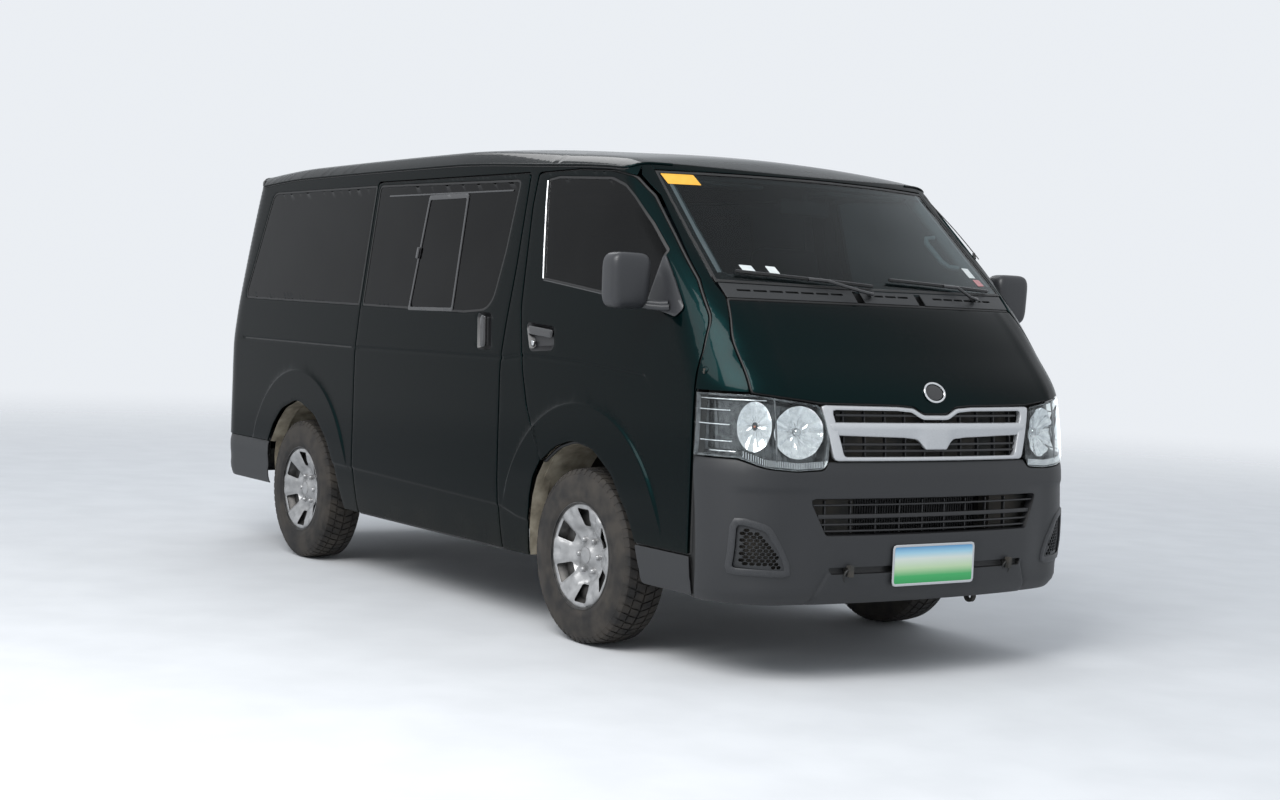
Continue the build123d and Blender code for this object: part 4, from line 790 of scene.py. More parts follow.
skin_panel("windscreen_seal", "front", [widened(screen_path, 3), widened(screen_path, -6)],
           black_look, "black_plastic", 40, 0.2, thick=7, edge=1.4)
yellow = finish_look("sticker_yellow", (0.72, 0.36, 0.03), (0.78, 0.42, 0.05), 25, (0.4, 0.5))
pale = finish_look("sticker_pale", (0.55, 0.60, 0.60), (0.68, 0.70, 0.68), 25, (0.4, 0.5))
pink = finish_look("sticker_rose", (0.42, 0.16, 0.17), (0.50, 0.24, 0.24), 25, (0.4, 0.5))
for name, look, rows in (
        ("sticker_upper", yellow, [(-652, 1799, 3), (-527, 1800, 3), (-519, 1760, 3), (-646, 1759, 3)]),
        ("sticker_low_a", pale, [(-575, 1462, 3), (-528, 1460, 3), (-522, 1430, 3), (-570, 1431, 3)]),
        ("sticker_low_b", pale, [(-474, 1462, 3), (-436, 1460, 3), (-430, 1428, 3), (-470, 1430, 3)]),
        ("sticker_low_c", pale, [(560, 1500, 3), (606, 1500, 3), (612, 1462, 3), (566, 1462, 3)]),
        ("sticker_low_d", pink, [(580, 1456, 3), (626, 1456, 3), (634, 1432, 3), (588, 1430, 3)])):
    skin_panel(name, "front", [dense(rounded(rows))], look, "black_plastic", 20, -2.4, thick=0.5, edge=0.1)

# Bonnet: a steep pressed steel panel whose lower edge dips at the middle, hinged at its top edge behind the
# cowl on two arms, with a stamped inner frame. A plain oval ring with a disc in it is clipped to its front.
hinge_y = 150


def mirrored(half):
    """Rows down one side, and then the same rows back up the other."""
    return half + [(-y, *others) for y, *others in half[::-1]]


bonnet_rows = mirrored([(690, 1334, 8), (735, 1200, 200), (742, 1016, 12), (500, 988, 200), (180, 984, 60),
                        (104, 979, 50), (58, 954, 60)])
bonnet_path = dense(rounded(bonnet_rows))


def bonnet_relief(x, y, z):
    """A soft ridge along each flank of the bonnet and a rolled top edge."""
    ridge = 3.0 * np.exp(-((np.abs(y) - 640 + (z - 1000) * 0.12) / 22.0) ** 2)
    return ridge - 3.0 * step_up(z, 1300, 1336) - 2.0 * step_up(1010 - z, 0, 30)


bonnet = skin_panel("bonnet_skin", "front", [widened(bonnet_path, -half_gap)], paint, "body_paint",
                    22, relief=bonnet_relief, thick=6, body="bonnet")
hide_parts("bonnet")
shade_paint = finish_look("inner_paint", (0.003, 0.016, 0.014), (0.006, 0.022, 0.019), 60, (0.4, 0.5),
                          Metallic=0.3)
holes = [rounded([(s * 70, 1280, 30), (s * 620, 1270, 30), (s * 650, 1180, 30), (s * 70, 1180, 30)])
         for s in (-1, 1)]
holes += [rounded([(s * 110, 1140, 30), (s * 650, 1140, 30), (s * 660, 1060, 30), (s * 200, 1040, 30)])
          for s in (-1, 1)]
skin_panel("bonnet_frame", "front", [widened(bonnet_path, -26)] + [dense(h) for h in holes],
           shade_paint, "body_paint", 40, -12, thick=6, body="bonnet")
arms = [[(2093, y + d, 1291), (2062, y + d, 1288), (2020, y + d, 1300), (1988, y + d, 1334),
         (1975, y + d, 1366)] for y in (-hinge_y, hinge_y) for d in (-6, 6)]
steel_dark = finish_look("dark_steel", (0.018, 0.018, 0.018), (0.035, 0.034, 0.032), 35, (0.45, 0.6), 0.15,
                         Metallic=0.4)
tube("bonnet_hinge_arms", arms, 4, steel_dark, "dark_metal", body="bonnet")


def all_round(count):
    """The angles of evenly spaced points round a circle."""
    return np.linspace(0, 2 * math.pi, count + 1)[:-1]


def front_point(y, z, out):
    """The places on the body's front at these distances across and heights."""
    y, z = np.broadcast_arrays(np.array(y, float), np.array(z, float))
    return skin_point(round_from_y(y, z), z, out)


ring_z, ring_half_width, ring_half_height = 1030, 47, 33
ring_turns = all_round(48)
ring = front_point(ring_half_width * np.cos(ring_turns), ring_z + ring_half_height * np.sin(ring_turns), 4)
tube("plain_ring", [ring], 4.4, chrome, "silver_trim", closed=True, body="bonnet")
disc_path = np.stack([40 * np.cos(ring_turns), ring_z + 27 * np.sin(ring_turns)], -1)
skin_panel("plain_ring_disc", "front", [disc_path], frame_look, "black_plastic", 14, 3.5,
           thick=3, edge=1.5, body="bonnet")

# Cowl and wipers: a black moulded strip with louvres, clipped in under the windscreen, with a notch for each
# hinge arm of the bonnet. Two wipers turn on steel pivots that come through it.
notch_half, pivot_z = 17, 1376
notches = [p for at in (-hinge_y, hinge_y) for p in ((at - notch_half, 1342), (at - notch_half, 1382, 4),
                                                     (at + notch_half, 1382, 4), (at + notch_half, 1342))]
cowl_path = dense(np.concatenate([open_path([(-690, 1342), *notches, (690, 1342)]),
                                  open_path([(694, 1394), (350, 1389, 600), (0, 1386, 600), (-350, 1389, 600),
                                             (-694, 1394)])]))
louvres = [rounded([(y, 1372, 2), (y + 52, 1372, 2), (y + 52, 1366, 2), (y, 1366, 2)])
           for y in range(-640, 600, 62) if abs(abs(y + 26) - hinge_y) > 50]
cowl_look = finish_look("cowl_plastic", (0.012, 0.013, 0.014), (0.022, 0.023, 0.024), 500, (0.45, 0.55), 0.1)
cowl = skin_panel("cowl_strip", "front", [cowl_path] + [dense(h) for h in louvres], cowl_look,
                  "black_plastic", 26, -4, thick=8, edge=1.6)
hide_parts("cowl")
blades, wiper_arms, pivots = [], [], []
for pivot_y, start, end in ((-96, (-610, 1436), (-70, 1404)), (470, (36, 1432), (596, 1410))):
    blades.append(front_point(np.linspace(start[0], end[0], 24), np.linspace(start[1], end[1], 24), 13))
    middle_y, middle_z = (start[0] + end[0]) / 2, (start[1] + end[1]) / 2
    arm_y = [pivot_y, pivot_y - 60, middle_y + 70, middle_y]
    arm_z = [pivot_z, pivot_z + 8, middle_z - 3, middle_z]
    wiper_arms.append(front_point(arm_y, arm_z, np.array([24.0, 42.0, 30.0, 19.0])))
    pivots.append(front_point([pivot_y, pivot_y], pivot_z, np.array([-8.0, 22.0])))
tube("wiper_blades", blades, 5.5, black_look, "black_plastic")
tube("wiper_spines", [path + np.array([3, 0, 5]) for path in blades], 3, frame_look, "black_plastic")
tube("wiper_arms", wiper_arms, 6, frame_look, "black_plastic")
tube("wiper_pivots", pivots, 11, frame_look, "black_plastic", resolution=5)

# Headlamps: a clear moulded lens over a silvered housing with a big faceted reflector, a smaller signal
# reflector with its coloured bulb towards the side, and a row of fine upright prisms along the bottom. The
# lens is glued to the housing, which is screwed to the front panel.
def recess(name, loop, to_point, steps, look, slot, floor=True, ripple=None, grid=18.0, body="van_body"):
    """Walls that step down from an outline, each step (drawn in, depth), with a floor if one is wanted."""
    rings = [widened(loop, -drawn) for drawn, _ in steps]
    places = [to_point(ring, depth) for ring, (_, depth) in zip(rings, steps)]
    n, faces = len(loop), []
    for i in range(len(steps) - 1):
        faces += [(i * n + k, i * n + (k + 1) % n, (i + 1) * n + (k + 1) % n, (i + 1) * n + k)
                  for k in range(n)]
    if floor:
        points, tris, _ = filled([rings[-1]], grid)
        depth = steps[-1][1] + (ripple(points) if ripple is not None else 0.0)
        faces += [tuple(t + n * len(steps)) for t in tris]
        places.append(to_point(points, depth))
    made = plain_mesh(name, np.concatenate(places) / 1000, faces)
    made.data.shade_smooth()
    made.data.set_sharp_from_angle(angle=math.radians(40))
    return fitted(made, look, slot, body=body)


def turned(name, profiles, look, slot, segments, smooth=True, flutes=0, wave=0.0, tall=1.0, body="van_body"):
    """Turned pieces in millimetres: each has its radius and offset rows, its middle and the way it faces."""
    places, faces = [], []
    for profile, middle, way in profiles:
        face_to = Vector(way).to_track_quat("Z", "Y").to_matrix()
        first = len(places)
        for r, w in profile:
            for k in range(segments):
                a = 2 * math.pi * k / segments
                w_here = w + wave * (1 if flutes and (k * flutes // segments) % 2 else 0)
                spot = face_to @ Vector((r * math.cos(a), tall * r * math.sin(a), w_here)) + Vector(middle)
                places.append(spot / 1000)
        for i in range(len(profile) - 1):
            for k in range(segments):
                a, b = first + i * segments + k, first + i * segments + (k + 1) % segments
                faces.append((a, b, b + segments, a + segments))
    made = plain_mesh(name, places, faces)
    if smooth:
        made.data.shade_smooth()
        made.data.set_sharp_from_angle(angle=math.radians(35))
    return fitted(made, look, slot, body=body)


lamp_front_rows = [(742, 1011), (509, 981, 16), (468, 884, 400), (477, 787, 10), (492, 757, 30),
                   (600, 750, 300), (715, 759, 200), (786, 790)]
lens_look = glass_look("lamp_lens", (0.90, 0.92, 0.92), (0.94, 0.95, 0.95), 30, (0.02, 0.04))
housing_look = finish_look("lamp_housing_silver", (0.10, 0.105, 0.11), (0.20, 0.205, 0.21), 60,
                           (0.16, 0.26), Metallic=0.6)
reflector_look = finish_look("lamp_reflector", (0.70, 0.71, 0.72), (0.90, 0.91, 0.92), 45, (0.06, 0.16),
                             Metallic=0.85, Coat_Weight=0.6)
amber = finish_look("amber_bulb", (0.30, 0.06, 0.02), (0.40, 0.10, 0.03), 60, (0.1, 0.2), Coat_Weight=1)
reflector_y, reflector_z, signal_y, signal_z = 588.0, 884, 742.0, 900
for side, view in both_sides:
    front_part = open_path(lamp_front_rows)
    front_part[:, 0] *= side
    lamp_loop = np.concatenate([unrolled("front", front_part), unrolled(view, [(2010, 790), (2010, 1010)])])
    lamp_loop = cleaned(lamp_loop, 1, 16)
    lens = sheet_mesh("headlamp_lens_" + view, [widened(lamp_loop, -1.5)], on_skin(0), 3, 1.6, 30)
    fitted(lens, lens_look, "lamp_lens")
    if side < 0:
        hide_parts("headlamps")
    recess("headlamp_bowl_" + view, lamp_loop, on_skin(-3), [(2, 0), (9, 6), (14, 28), (26, 44)],
           housing_look, "lamp_lens", ripple=lambda p: -4.0 * np.abs((p[:, 0] / 13.0) % 2 - 1), grid=6.5)
    at = front_point([side * reflector_y], reflector_z, -16)[0]
    lean = math.radians(16)
    way = (math.cos(lean), side * math.sin(lean), 0.02)
    bowl = [(r, -25 * (1 - (r / 92) ** 2)) for r in (14, 26, 38, 50, 62, 74, 84, 92)]
    turned("headlamp_reflector_" + view, [(bowl, at, way)], reflector_look, "lamp_lens",
           segments=40, smooth=False, flutes=20, wave=4)
    bulb = [(0.5, -2), (9, -4), (13, -9), (13, -24)]
    turned("headlamp_bulb_" + view, [(bulb, at, way)], chrome, "lamp_lens", 24)
    at = front_point([side * signal_y], signal_z, -17)[0]
    lean = math.radians(42)
    way = (math.cos(lean), side * math.sin(lean), 0)
    small = [(r, -24 * (1 - (r / 60) ** 2)) for r in (10, 20, 30, 40, 52, 60)]
    turned("signal_reflector_" + view, [(small, at, way)], reflector_look, "lamp_lens",
           segments=32, smooth=False, flutes=16, wave=3.5, tall=1.45)
    drop = [(0.5, -6), (3, -7), (4.5, -11), (4, -23)]
    turned("signal_bulb_" + view, [(drop, at, way)], amber, "lamp_lens", 20)
    ledges = [front_point(side * np.linspace(start, end, 8), z, -12) for z, start, end in
              ((812, 792, 838), (846, 800, 846), (903, 802, 850), (952, 798, 850), (990, 700, 850))]
    tube("lamp_ledges_" + view, ledges, 2.6, reflector_look, "lamp_lens", resolution=1)
    prism_y = np.arange(500.0, 776.0, 6.5) * side
    low = np.interp(np.abs(prism_y), [500, 600, 715, 780], [764, 758, 768, 796])
    prisms = [front_point([y, y], [z, z + 22], -6) for y, z in zip(prism_y, low)]
    tube("lamp_prisms_" + view, prisms, 2.4, chrome, "lamp_lens", resolution=1)
    tube("lamp_divider_" + view, [front_point(side * 676.0, np.linspace(782, 1000, 6), -7)], 3.6,
         housing_look, "lamp_lens")

# Grille: a moulded frame in silver paint whose top edge dips with the bonnet, a broad band across it that
# drops to a point, and black bars and upright ribs set back behind them. It is screwed to the front panel.
silver = finish_look("silver_plastic", (0.46, 0.47, 0.48), (0.54, 0.55, 0.56), 400, (0.28, 0.36),
                     Metallic=0.35, Coat_Weight=0.4, Coat_Roughness=0.1)
grille_out = mirrored([(58, 949, 60), (104, 973, 50), (180, 978, 60), (503, 981, 14), (454, 787, 20)])
grille_in = mirrored([(62, 933, 60), (112, 959, 50), (180, 964, 60), (458, 965, 12), (412, 802, 16)])
band_rows = mirrored([(474, 922, 4), (456, 876, 10), (150, 868, 80), (84, 862, 40), (50, 826, 12)])


def band_relief(x, y, z):
    """The band's bright upper face, its lower face turned down, and the blunt point at its middle."""
    point = np.clip((95 - np.abs(y)) / 45.0, 0, 1)
    lower_face = 0.30 * np.maximum(905 - z, 0) * (1 - 0.6 * point)
    return 5.0 - lower_face - 0.5 * np.maximum(z - 910, 0) + 3.0 * point


grille = skin_panel("grille_frame", "front", [dense(rounded(grille_out)), dense(rounded(grille_in))], silver,
                  "silver_trim", 18, -0.5, thick=22, edge=4)
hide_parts("grille")
skin_panel("grille_band", "front", [dense(rounded(band_rows), 10)], silver, "silver_trim", 9,
           -2, band_relief, thick=18, edge=3)
bar_look = finish_look("black_bars", (0.010, 0.010, 0.011), (0.018, 0.018, 0.019), 300, (0.35, 0.5), 0.05)
bars = [rounded([(-440, z + h, 2), (440, z + h, 2), (440, z - h, 2), (-440, z - h, 2)])
        for z, h in ((947, 4.5), (845, 4.5), (822, 4.5))]
skin_panel("grille_bars", "front", [dense(b, 22) for b in bars], bar_look, "black_plastic",
           30, -14, thick=14, edge=2)
ribs = [rounded([(y - 2.5, 960, 1), (y + 2.5, 960, 1), (y + 2.5, 795, 1), (y - 2.5, 795, 1)])
        for y in range(-405, 406, 90)]
skin_panel("grille_ribs", "front", [dense(r, 22) for r in ribs], bar_look, "black_plastic",
           30, -18, thick=16, edge=1.2)

# Front bumper: one big grained moulding clipped to brackets, with an upper intake behind bars, a fog light
# recess each side closed by a honeycomb insert, and a slot low down through which the towing lugs pass.
# A lighter grey than the bumper moulding: a painted highlight for the light that the raised lips round the fog
# recesses catch.
lit_lip_look = finish_look("bumper_lip_painted_highlight", (0.022, 0.023, 0.025), (0.036, 0.037, 0.040), 300, (0.4, 0.5),
                        0.15)
bumper_look = finish_look("grained_bumper", (0.013, 0.014, 0.0155), (0.021, 0.022, 0.024), 900,
                          (0.46, 0.56), 0.25)
top_right = open_path([(792, 786), (716, 756, 200), (600, 747, 300), (490, 753, 30), (473, 783, 6), (0, 783)])
front_top = np.concatenate([top_right, (top_right * np.array([-1, 1]))[::-1][1:]])
bumper_loop = np.concatenate([
    unrolled("left", [(2008.5, 284), (2008.5, 786)]), unrolled("front", front_top),
    unrolled("right", [(2008.5, 786), (2008.5, 284)]),
    unrolled("front", open_path([(-700, 284), (-470, 282, 60), (470, 282, 60), (700, 284)]))])
bumper_loop = cleaned(bumper_loop, 1, 16)
intake = dense(rounded([(-549, 657, 16), (549, 657, 16), (483, 527, 16), (-483, 527, 16)]))
fog = {s: dense(rounded([(s * 792, 574, 16), (s * 706, 547, 40), (s * 655, 470, 80), (s * 622, 402, 12),
                         (s * 798, 410, 14)])) for s in (-1, 1)}
low_slot = dense(rounded([(-470, 416, 8), (470, 416, 8), (452, 392, 8), (-452, 392, 8)]))


def chin_half(z):
    """Half the width of the plain chin between the fog recesses, which widens downwards."""
    return 472 + (392 - z) * 0.5


def bumper_relief(x, y, z):
    """The rolled upper edge, a dish that leads to each fog recess and the rolled lower edge."""
    roll = -0.004 * np.maximum(z - 735, 0) ** 2 - 0.006 * np.maximum(330 - z, 0) ** 2
    inside = chin_half(z) - np.abs(y)
    chin = 5.0 * step_up(404 - z, 0, 10) * (step_up(inside, 0, 9) - np.exp(-(inside / 6.0) ** 2))
    dish = -9.0 * np.exp(-(((np.abs(y) - 640) / 85.0) ** 2 + ((z - 470) / 95.0) ** 2))
    inward = 1 - step_up(np.abs(y), 740, 820)
    shelf = -9.0 * step_up(698 - z, 0, 26) * step_up(z, 330, 380) * step_up(np.abs(y), 470, 620) * inward
    seat = -5.0 * step_up(230 - np.abs(y), 0, 24) * step_up(z, 322, 344) * step_up(512 - z, 0, 24)
    return roll + dish + shelf + seat + chin


openings = [unrolled("front", path) for path in (intake, fog[-1], fog[1], low_slot)]
bumper_folds = [(y, z) for y in range(-800, 801, 20) for z in (668, 676, 684, 692, 700)]
bumper_folds += [(s * (chin_half(z) + d), z) for s in (-1, 1) for z in range(306, 400, 12)
                 for d in (-14, -8, -3, 3, 9)]
fitted(sheet_mesh("bumper_skin", [bumper_loop] + openings, on_skin(0, bumper_relief), 4, 1.4, 20,
                  unrolled("front", bumper_folds)), bumper_look, "grey_plastic", "bumper_front")
recess("intake_walls", unrolled("front", intake), on_skin(0, bumper_relief), [(0, 1), (5, 30)], bar_look,
       "black_plastic", floor=False)
bars = []
for z, h in ((634, 4), (594, 8), (566, 4), (543, 4)):
    reach = 479 + (z - 527) * 0.508
    bars.append(rounded([(-reach, z + h, 2), (reach, z + h, 2), (reach, z - h, 2), (-reach, z - h, 2)]))
skin_panel("intake_bars", "front", [dense(b, 24) for b in bars], bar_look, "black_plastic",
           30, -10, thick=16, edge=2.4)
ribs = [rounded([(y - 3, 650, 1), (y + 3, 650, 1), (y + 3, 534, 1), (y - 3, 534, 1)])
        for y in range(-480, 481, 107)]
skin_panel("intake_ribs", "front", [dense(r, 24) for r in ribs], bar_look, "black_plastic",
           30, -17, thick=14, edge=1.4)
recess("low_slot_walls", unrolled("front", low_slot), on_skin(0, bumper_relief), [(0, 1), (2, 16)],
       black_look, "black_plastic")
for s, view in both_sides:
    loop = unrolled("front", fog[s])
    recess("fog_walls_" + view, loop, on_skin(0, bumper_relief), [(0, 0.5), (6, 20)], bumper_look,
           "grey_plastic", floor=False)
    # The frame's lighter grey is a painted highlight on its raised lip.
    fitted(sheet_mesh("fog_frame_" + view, [widened(loop, 20), widened(loop, -5)],
                      on_skin(5.5, bumper_relief), 9, 5, 16), lit_lip_look, "grey_plastic")
    cells = []
    for i in range(-6, 7):
        for j in range(-9, 10):
            centre = np.array([s * 715 + i * 20.0 + (j % 2) * 10.0, 488 + j * 11.5])
            hexagon = centre + np.array([(8.4, 0), (5.0, 5.6), (-5.0, 5.6), (-8.4, 0), (-5.0, -5.6),
                                         (5.0, -5.6)])
            if within(hexagon, [widened(fog[s], -8)]).all():
                cells.append(hexagon)
    skin_panel("fog_honeycomb_" + view, "front", [widened(fog[s], -3)] + cells, bumper_look,
               "grey_plastic", 40, -13, thick=7, edge=1)
turn = all_round(24)
lug_rings = [np.stack([2323 + 8 * np.cos(turn), y + 18 * np.sin(turn), 384 + 24 * np.cos(turn)], -1)
             for y in (-383.0, 383.0)]
tube("towing_rings", lug_rings, 5, steel_dark, "dark_metal", closed=True, resolution=4)

# Radiator: a dark core behind the intake with fine upright aluminium fins in front of it, painted black and
# held by the front crossmember.
core_x, fin_x = 2190.0, 2196


def flat_front(x, inward=-1.0):
    """A rule for flat pieces at one x that face forward, or back where their depth goes forward."""
    def to_point(points, depth):
        return np.stack([np.full(len(points), x) + inward * depth, points[:, 0], points[:, 1]], -1)
    return to_point


fins = [[(fin_x, y, 464), (fin_x, y, 696)] for y in range(-318, 319, 12)]
tube("radiator_fins", fins, 3.4, bar_look, "dark_metal", resolution=1)
core = dense(rounded([(-338, 706, 12), (338, 706, 12), (338, 454, 12), (-338, 454, 12)]), 40)
fitted(sheet_mesh("radiator_core", [core], flat_front(core_x), 20, 2, 60), black_look, "dark_metal")

# Number plate: a blank pressed plate, painted blue at the top, pale in the middle and green below, held on
# the bumper in a thin silver frame.
plate_look = finish_look("plate_paint", (0.60, 0.66, 0.62), (0.66, 0.70, 0.66), 60, (0.3, 0.4))
tree = plate_look.node_tree
height_of = add_node(tree, "SeparateXYZ", {0: tree.nodes["Texture Coordinate"].outputs["Object"]})
up_plate = add_node(tree, "MapRange", {"Value": height_of.outputs["Z"]},
                    {"From Min": 0.345, "From Max": 0.487})
bands = add_node(tree, "ValToRGB", {"Fac": up_plate.outputs["Result"]})
bands.color_ramp.elements[0].color = (0.02, 0.30, 0.08, 1)
bands.color_ramp.elements[1].color = (0.03, 0.22, 0.50, 1)
for at, colour in ((0.22, (0.05, 0.40, 0.12, 1)), (0.42, (0.50, 0.66, 0.40, 1)),
                   (0.66, (0.66, 0.72, 0.66, 1)), (0.80, (0.35, 0.60, 0.72, 1))):
    bands.color_ramp.elements.new(at).color = colour
tree.links.new(bands.outputs["Color"], tree.nodes["Principled BSDF"].inputs["Base Color"])
plate_path = dense(rounded([(-193, 486, 12), (193, 486, 12), (193, 346, 12), (-193, 346, 12)]), 30)
fitted(sheet_mesh("blank_plate", [plate_path], flat_front(2345.5), 1.6, 0.8, 30), plate_look, "silver_trim")
fitted(sheet_mesh("plate_frame", [widened(plate_path, 4), widened(plate_path, -5)], flat_front(2346.8), 5,
                  1.4, 40), silver, "silver_trim")

# Door steps and rear bumper: a step under each front door and a bumper that wraps the rear corners, in the
# same grained moulding as the front bumper, clipped to brackets on the frame.
def step_relief(x, y, z):
    """The step's face turns in below its upper edge."""
    return -3.0 * step_up(352 - z, 0, 8)


def rear_bumper_relief(x, y, z):
    """A rolled upper edge, a broad pressed band and a foot that turns under."""
    band = step_up(470 - z, 0, 14) * step_up(z, 395, 409)
    return -6.0 * step_up(z, 525, 545) - 0.004 * np.maximum(380 - z, 0) ** 2 - 3.0 * band


for side, view in both_sides:
    step = skin_panel("door_step_" + view, view,
                      [dense(rounded([(1666, 431, 6), (2004, 431, 6), (2004, 293, 6), (1692, 293, 20),
                                      (1684, 360, 60)]))], bumper_look, "grey_plastic", 22, -1,
                      step_relief, thick=5)
    if side < 0:
        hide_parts("rockers")


def behind_from_side(view, rows):
    """A side outline in distance round from the middle of the rear."""
    path = unrolled(view, rows)
    side = 1 if view == "left" else -1
    return np.stack([side * (whole_way(path[:, 1]) - np.abs(path[:, 0])), path[:, 1]], -1)


def behind_sheet(name, loop, look, slot, out=0.0, relief=None, grid=24.0, thick=5.0, edge=1.2, holes=(),
                 body="van_body"):
    """A sheet piece on the rear of the body, from outlines in distance round from its middle."""
    loops = [cleaned(loop, 1, 18)] + list(holes)
    made = sheet_mesh(name, loops, on_skin(out, relief, True), thick, edge, grid, flip=True)
    return fitted(made, look, slot, body=body)


right_end = behind_from_side("right", [(-1660, 331), (-1652, 430), (-1650, 545)])
left_end = behind_from_side("left", [(-1650, 545), (-1652, 430), (-1660, 331)])
rear_bumper = behind_sheet("rear_bumper_skin", np.concatenate([right_end, left_end]), bumper_look,
                           "grey_plastic", 0, rear_bumper_relief)
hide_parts("bumper_rear")

# Tailgate: one tall pressed door hinged at the roof, with a dark glued window, a pressed bay for a plate and
# a painted handle bar over it. It hangs on two steel hinge arms.
gate_rows = mirrored([(640, 552, 20), (669, 700, 200), (667, 900, 200), (643, 1250, 200), (600, 1788, 100),
                      (565, 1872, 60), (480, 1881, 60)])
gate_glass_path = dense(rounded([(-606, 1262, 40), (606, 1262, 40), (566, 1768, 60), (500, 1826, 60),
                                 (-500, 1826, 60), (-566, 1768, 60)]))


def gate_relief(x, y, z):
    """The plate bay, a crease under the window and a rolled foot."""
    bay = -14.0 * step_up(250 - np.abs(y), 0, 26) * step_up(z, 690, 716) * step_up(858 - z, 0, 24)
    crease = -5.0 * np.exp(-((z - 1056) / 6.0) ** 2)
    return bay + crease - 3.0 * step_up(600 - z, 0, 40)


gate_loop = unrolled("rear", widened(dense(rounded(gate_rows)), -half_gap))
gate = behind_sheet("tailgate_skin", gate_loop, paint, "body_paint", 0, gate_relief, 20, 8,
                    holes=[unrolled("rear", widened(gate_glass_path, 3))], body="tailgate")
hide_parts("tailgate")
gate_pane = behind_sheet("tailgate_pane", unrolled("rear", widened(gate_glass_path, -3)), privacy,
                         "dark_glass", -3.5, None, 40, 2.5, 0.4, body="tailgate")
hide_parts("tailgate_glass")
behind_sheet("tailgate_seal", unrolled("rear", widened(gate_glass_path, 2.2)), black_look, "black_plastic",
             -1.2, None, 40, 9, 1, [unrolled("rear", widened(gate_glass_path, -9))], body="tailgate")
inner_loop = unrolled("rear", widened(dense(rounded(gate_rows)), -30))
behind_sheet("tailgate_lining", inner_loop, shade_paint, "body_paint", -30, None, 50, 4,
             1, [unrolled("rear", widened(gate_glass_path, 8))], body="tailgate")
handle_rows = dense(rounded([(-262, 905, 16), (262, 905, 16), (262, 866, 16), (-262, 866, 16)]))
behind_sheet("tailgate_handle_bar", unrolled("rear", handle_rows), paint, "body_paint", 14,
             None, 14, 16, 5, body="tailgate")
gate_arms = [[(-2184, y + d, 1886), (-2176, y + d, 1878), (-2166, y + d, 1866)] for y in (-140, 140)
             for d in (-6, 6)]
tube("tailgate_hinge_arms", gate_arms, 4, steel_dark, "dark_metal", body="tailgate")

# Tail lamps: tall moulded lenses that wrap the rear corners, red with a clear reversing light and an amber
# signal in the lower half. They are screwed to the body's rear corners.
red_lens = finish_look("red_lens", (0.20, 0.006, 0.006), (0.30, 0.012, 0.010), 260, (0.08, 0.14), 0.1,
                       Coat_Weight=1, Coat_Roughness=0.02)
amber_lens = finish_look("amber_lens", (0.50, 0.14, 0.01), (0.58, 0.18, 0.015), 260, (0.08, 0.14), 0.1,
                         Coat_Weight=1, Coat_Roughness=0.02)
white_lens = finish_look("white_lens", (0.48, 0.49, 0.49), (0.60, 0.61, 0.61), 260, (0.08, 0.14), 0.1,
                         Coat_Weight=1, Coat_Roughness=0.02)
for side, view in both_sides:
    for part, look, z_low, z_high in (("low", red_lens, 761, 838), ("white", white_lens, 840, 918),
                                      ("amber", amber_lens, 920, 1018), ("top", red_lens, 1020, 1249)):
        inner_edge = unrolled("rear", [(side * np.interp(z, [760, 900, 1250], [675, 671, 651]), z)
                                       for z in np.linspace(z_low, z_high, 5)])
        outer_edge = behind_from_side(view, [(-2193, z) for z in np.linspace(z_high, z_low, 6)])
        lens = behind_sheet("tail_lamp_%s_%s" % (part, view), np.concatenate([inner_edge, outer_edge]), look,
                            "red_lens", 1.5, None, 16, 12, 2)
        if side < 0 and part == "low":
            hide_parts("tail_lamps")

# Door handles: a dark cup moulded into each front door with a pull lever across it, and a taller cup with an
# upright lever on the sliding door, whose rail runs in a black cover along the rear quarter. The levers are
# black painted metal on pins, and each front door has a bright lock.
cup_look = finish_look("handle_cup", (0.008, 0.008, 0.009), (0.014, 0.014, 0.015), 300, (0.3, 0.4))
for view in ("right", "left"):
    recess("handle_cup_" + view, unrolled(view, handle_path), on_skin(0), [(0, 1), (8, 10), (20, 20)],
           cup_look, "black_plastic", body="door_" + view)
    skin_panel("handle_lever_" + view, view,
               [rounded([(838, 1204, 10), (1026, 1193, 10), (1026, 1160, 12), (846, 1169, 12)], 6)],
               frame_look, "black_plastic", 14, 3, thick=14, edge=4, body="door_" + view)
    skin_panel("handle_lock_" + view, view,
               [rounded([(858, 1148, 8), (884, 1146, 8), (884, 1124, 8), (862, 1126, 8)], 6)], chrome,
               "silver_trim", 14, -6, thick=8, edge=2, body="door_" + view)
recess("slide_handle_cup", unrolled("right", slide_handle_path), on_skin(0), [(0, 1), (8, 12), (16, 22)],
       cup_look, "black_plastic")
skin_panel("slide_handle_lever", "right",
           [rounded([(446, 1236, 12), (486, 1236, 12), (516, 1106, 12), (476, 1106, 12)], 6)], frame_look,
           "black_plastic", 14, 5, thick=16, edge=4.5)
rail_rows = np.array([(x, belt_z(x) + 4.0) for x in np.arange(-1990, -720, 18.0)]
                     + [(x, belt_z(x) - 4.0) for x in np.arange(-736, -1991, -18.0)])
skin_panel("slide_rail_cover", "right", [rail_rows], black_look, "black_plastic", 30, -3.2, thick=3, edge=0.6)

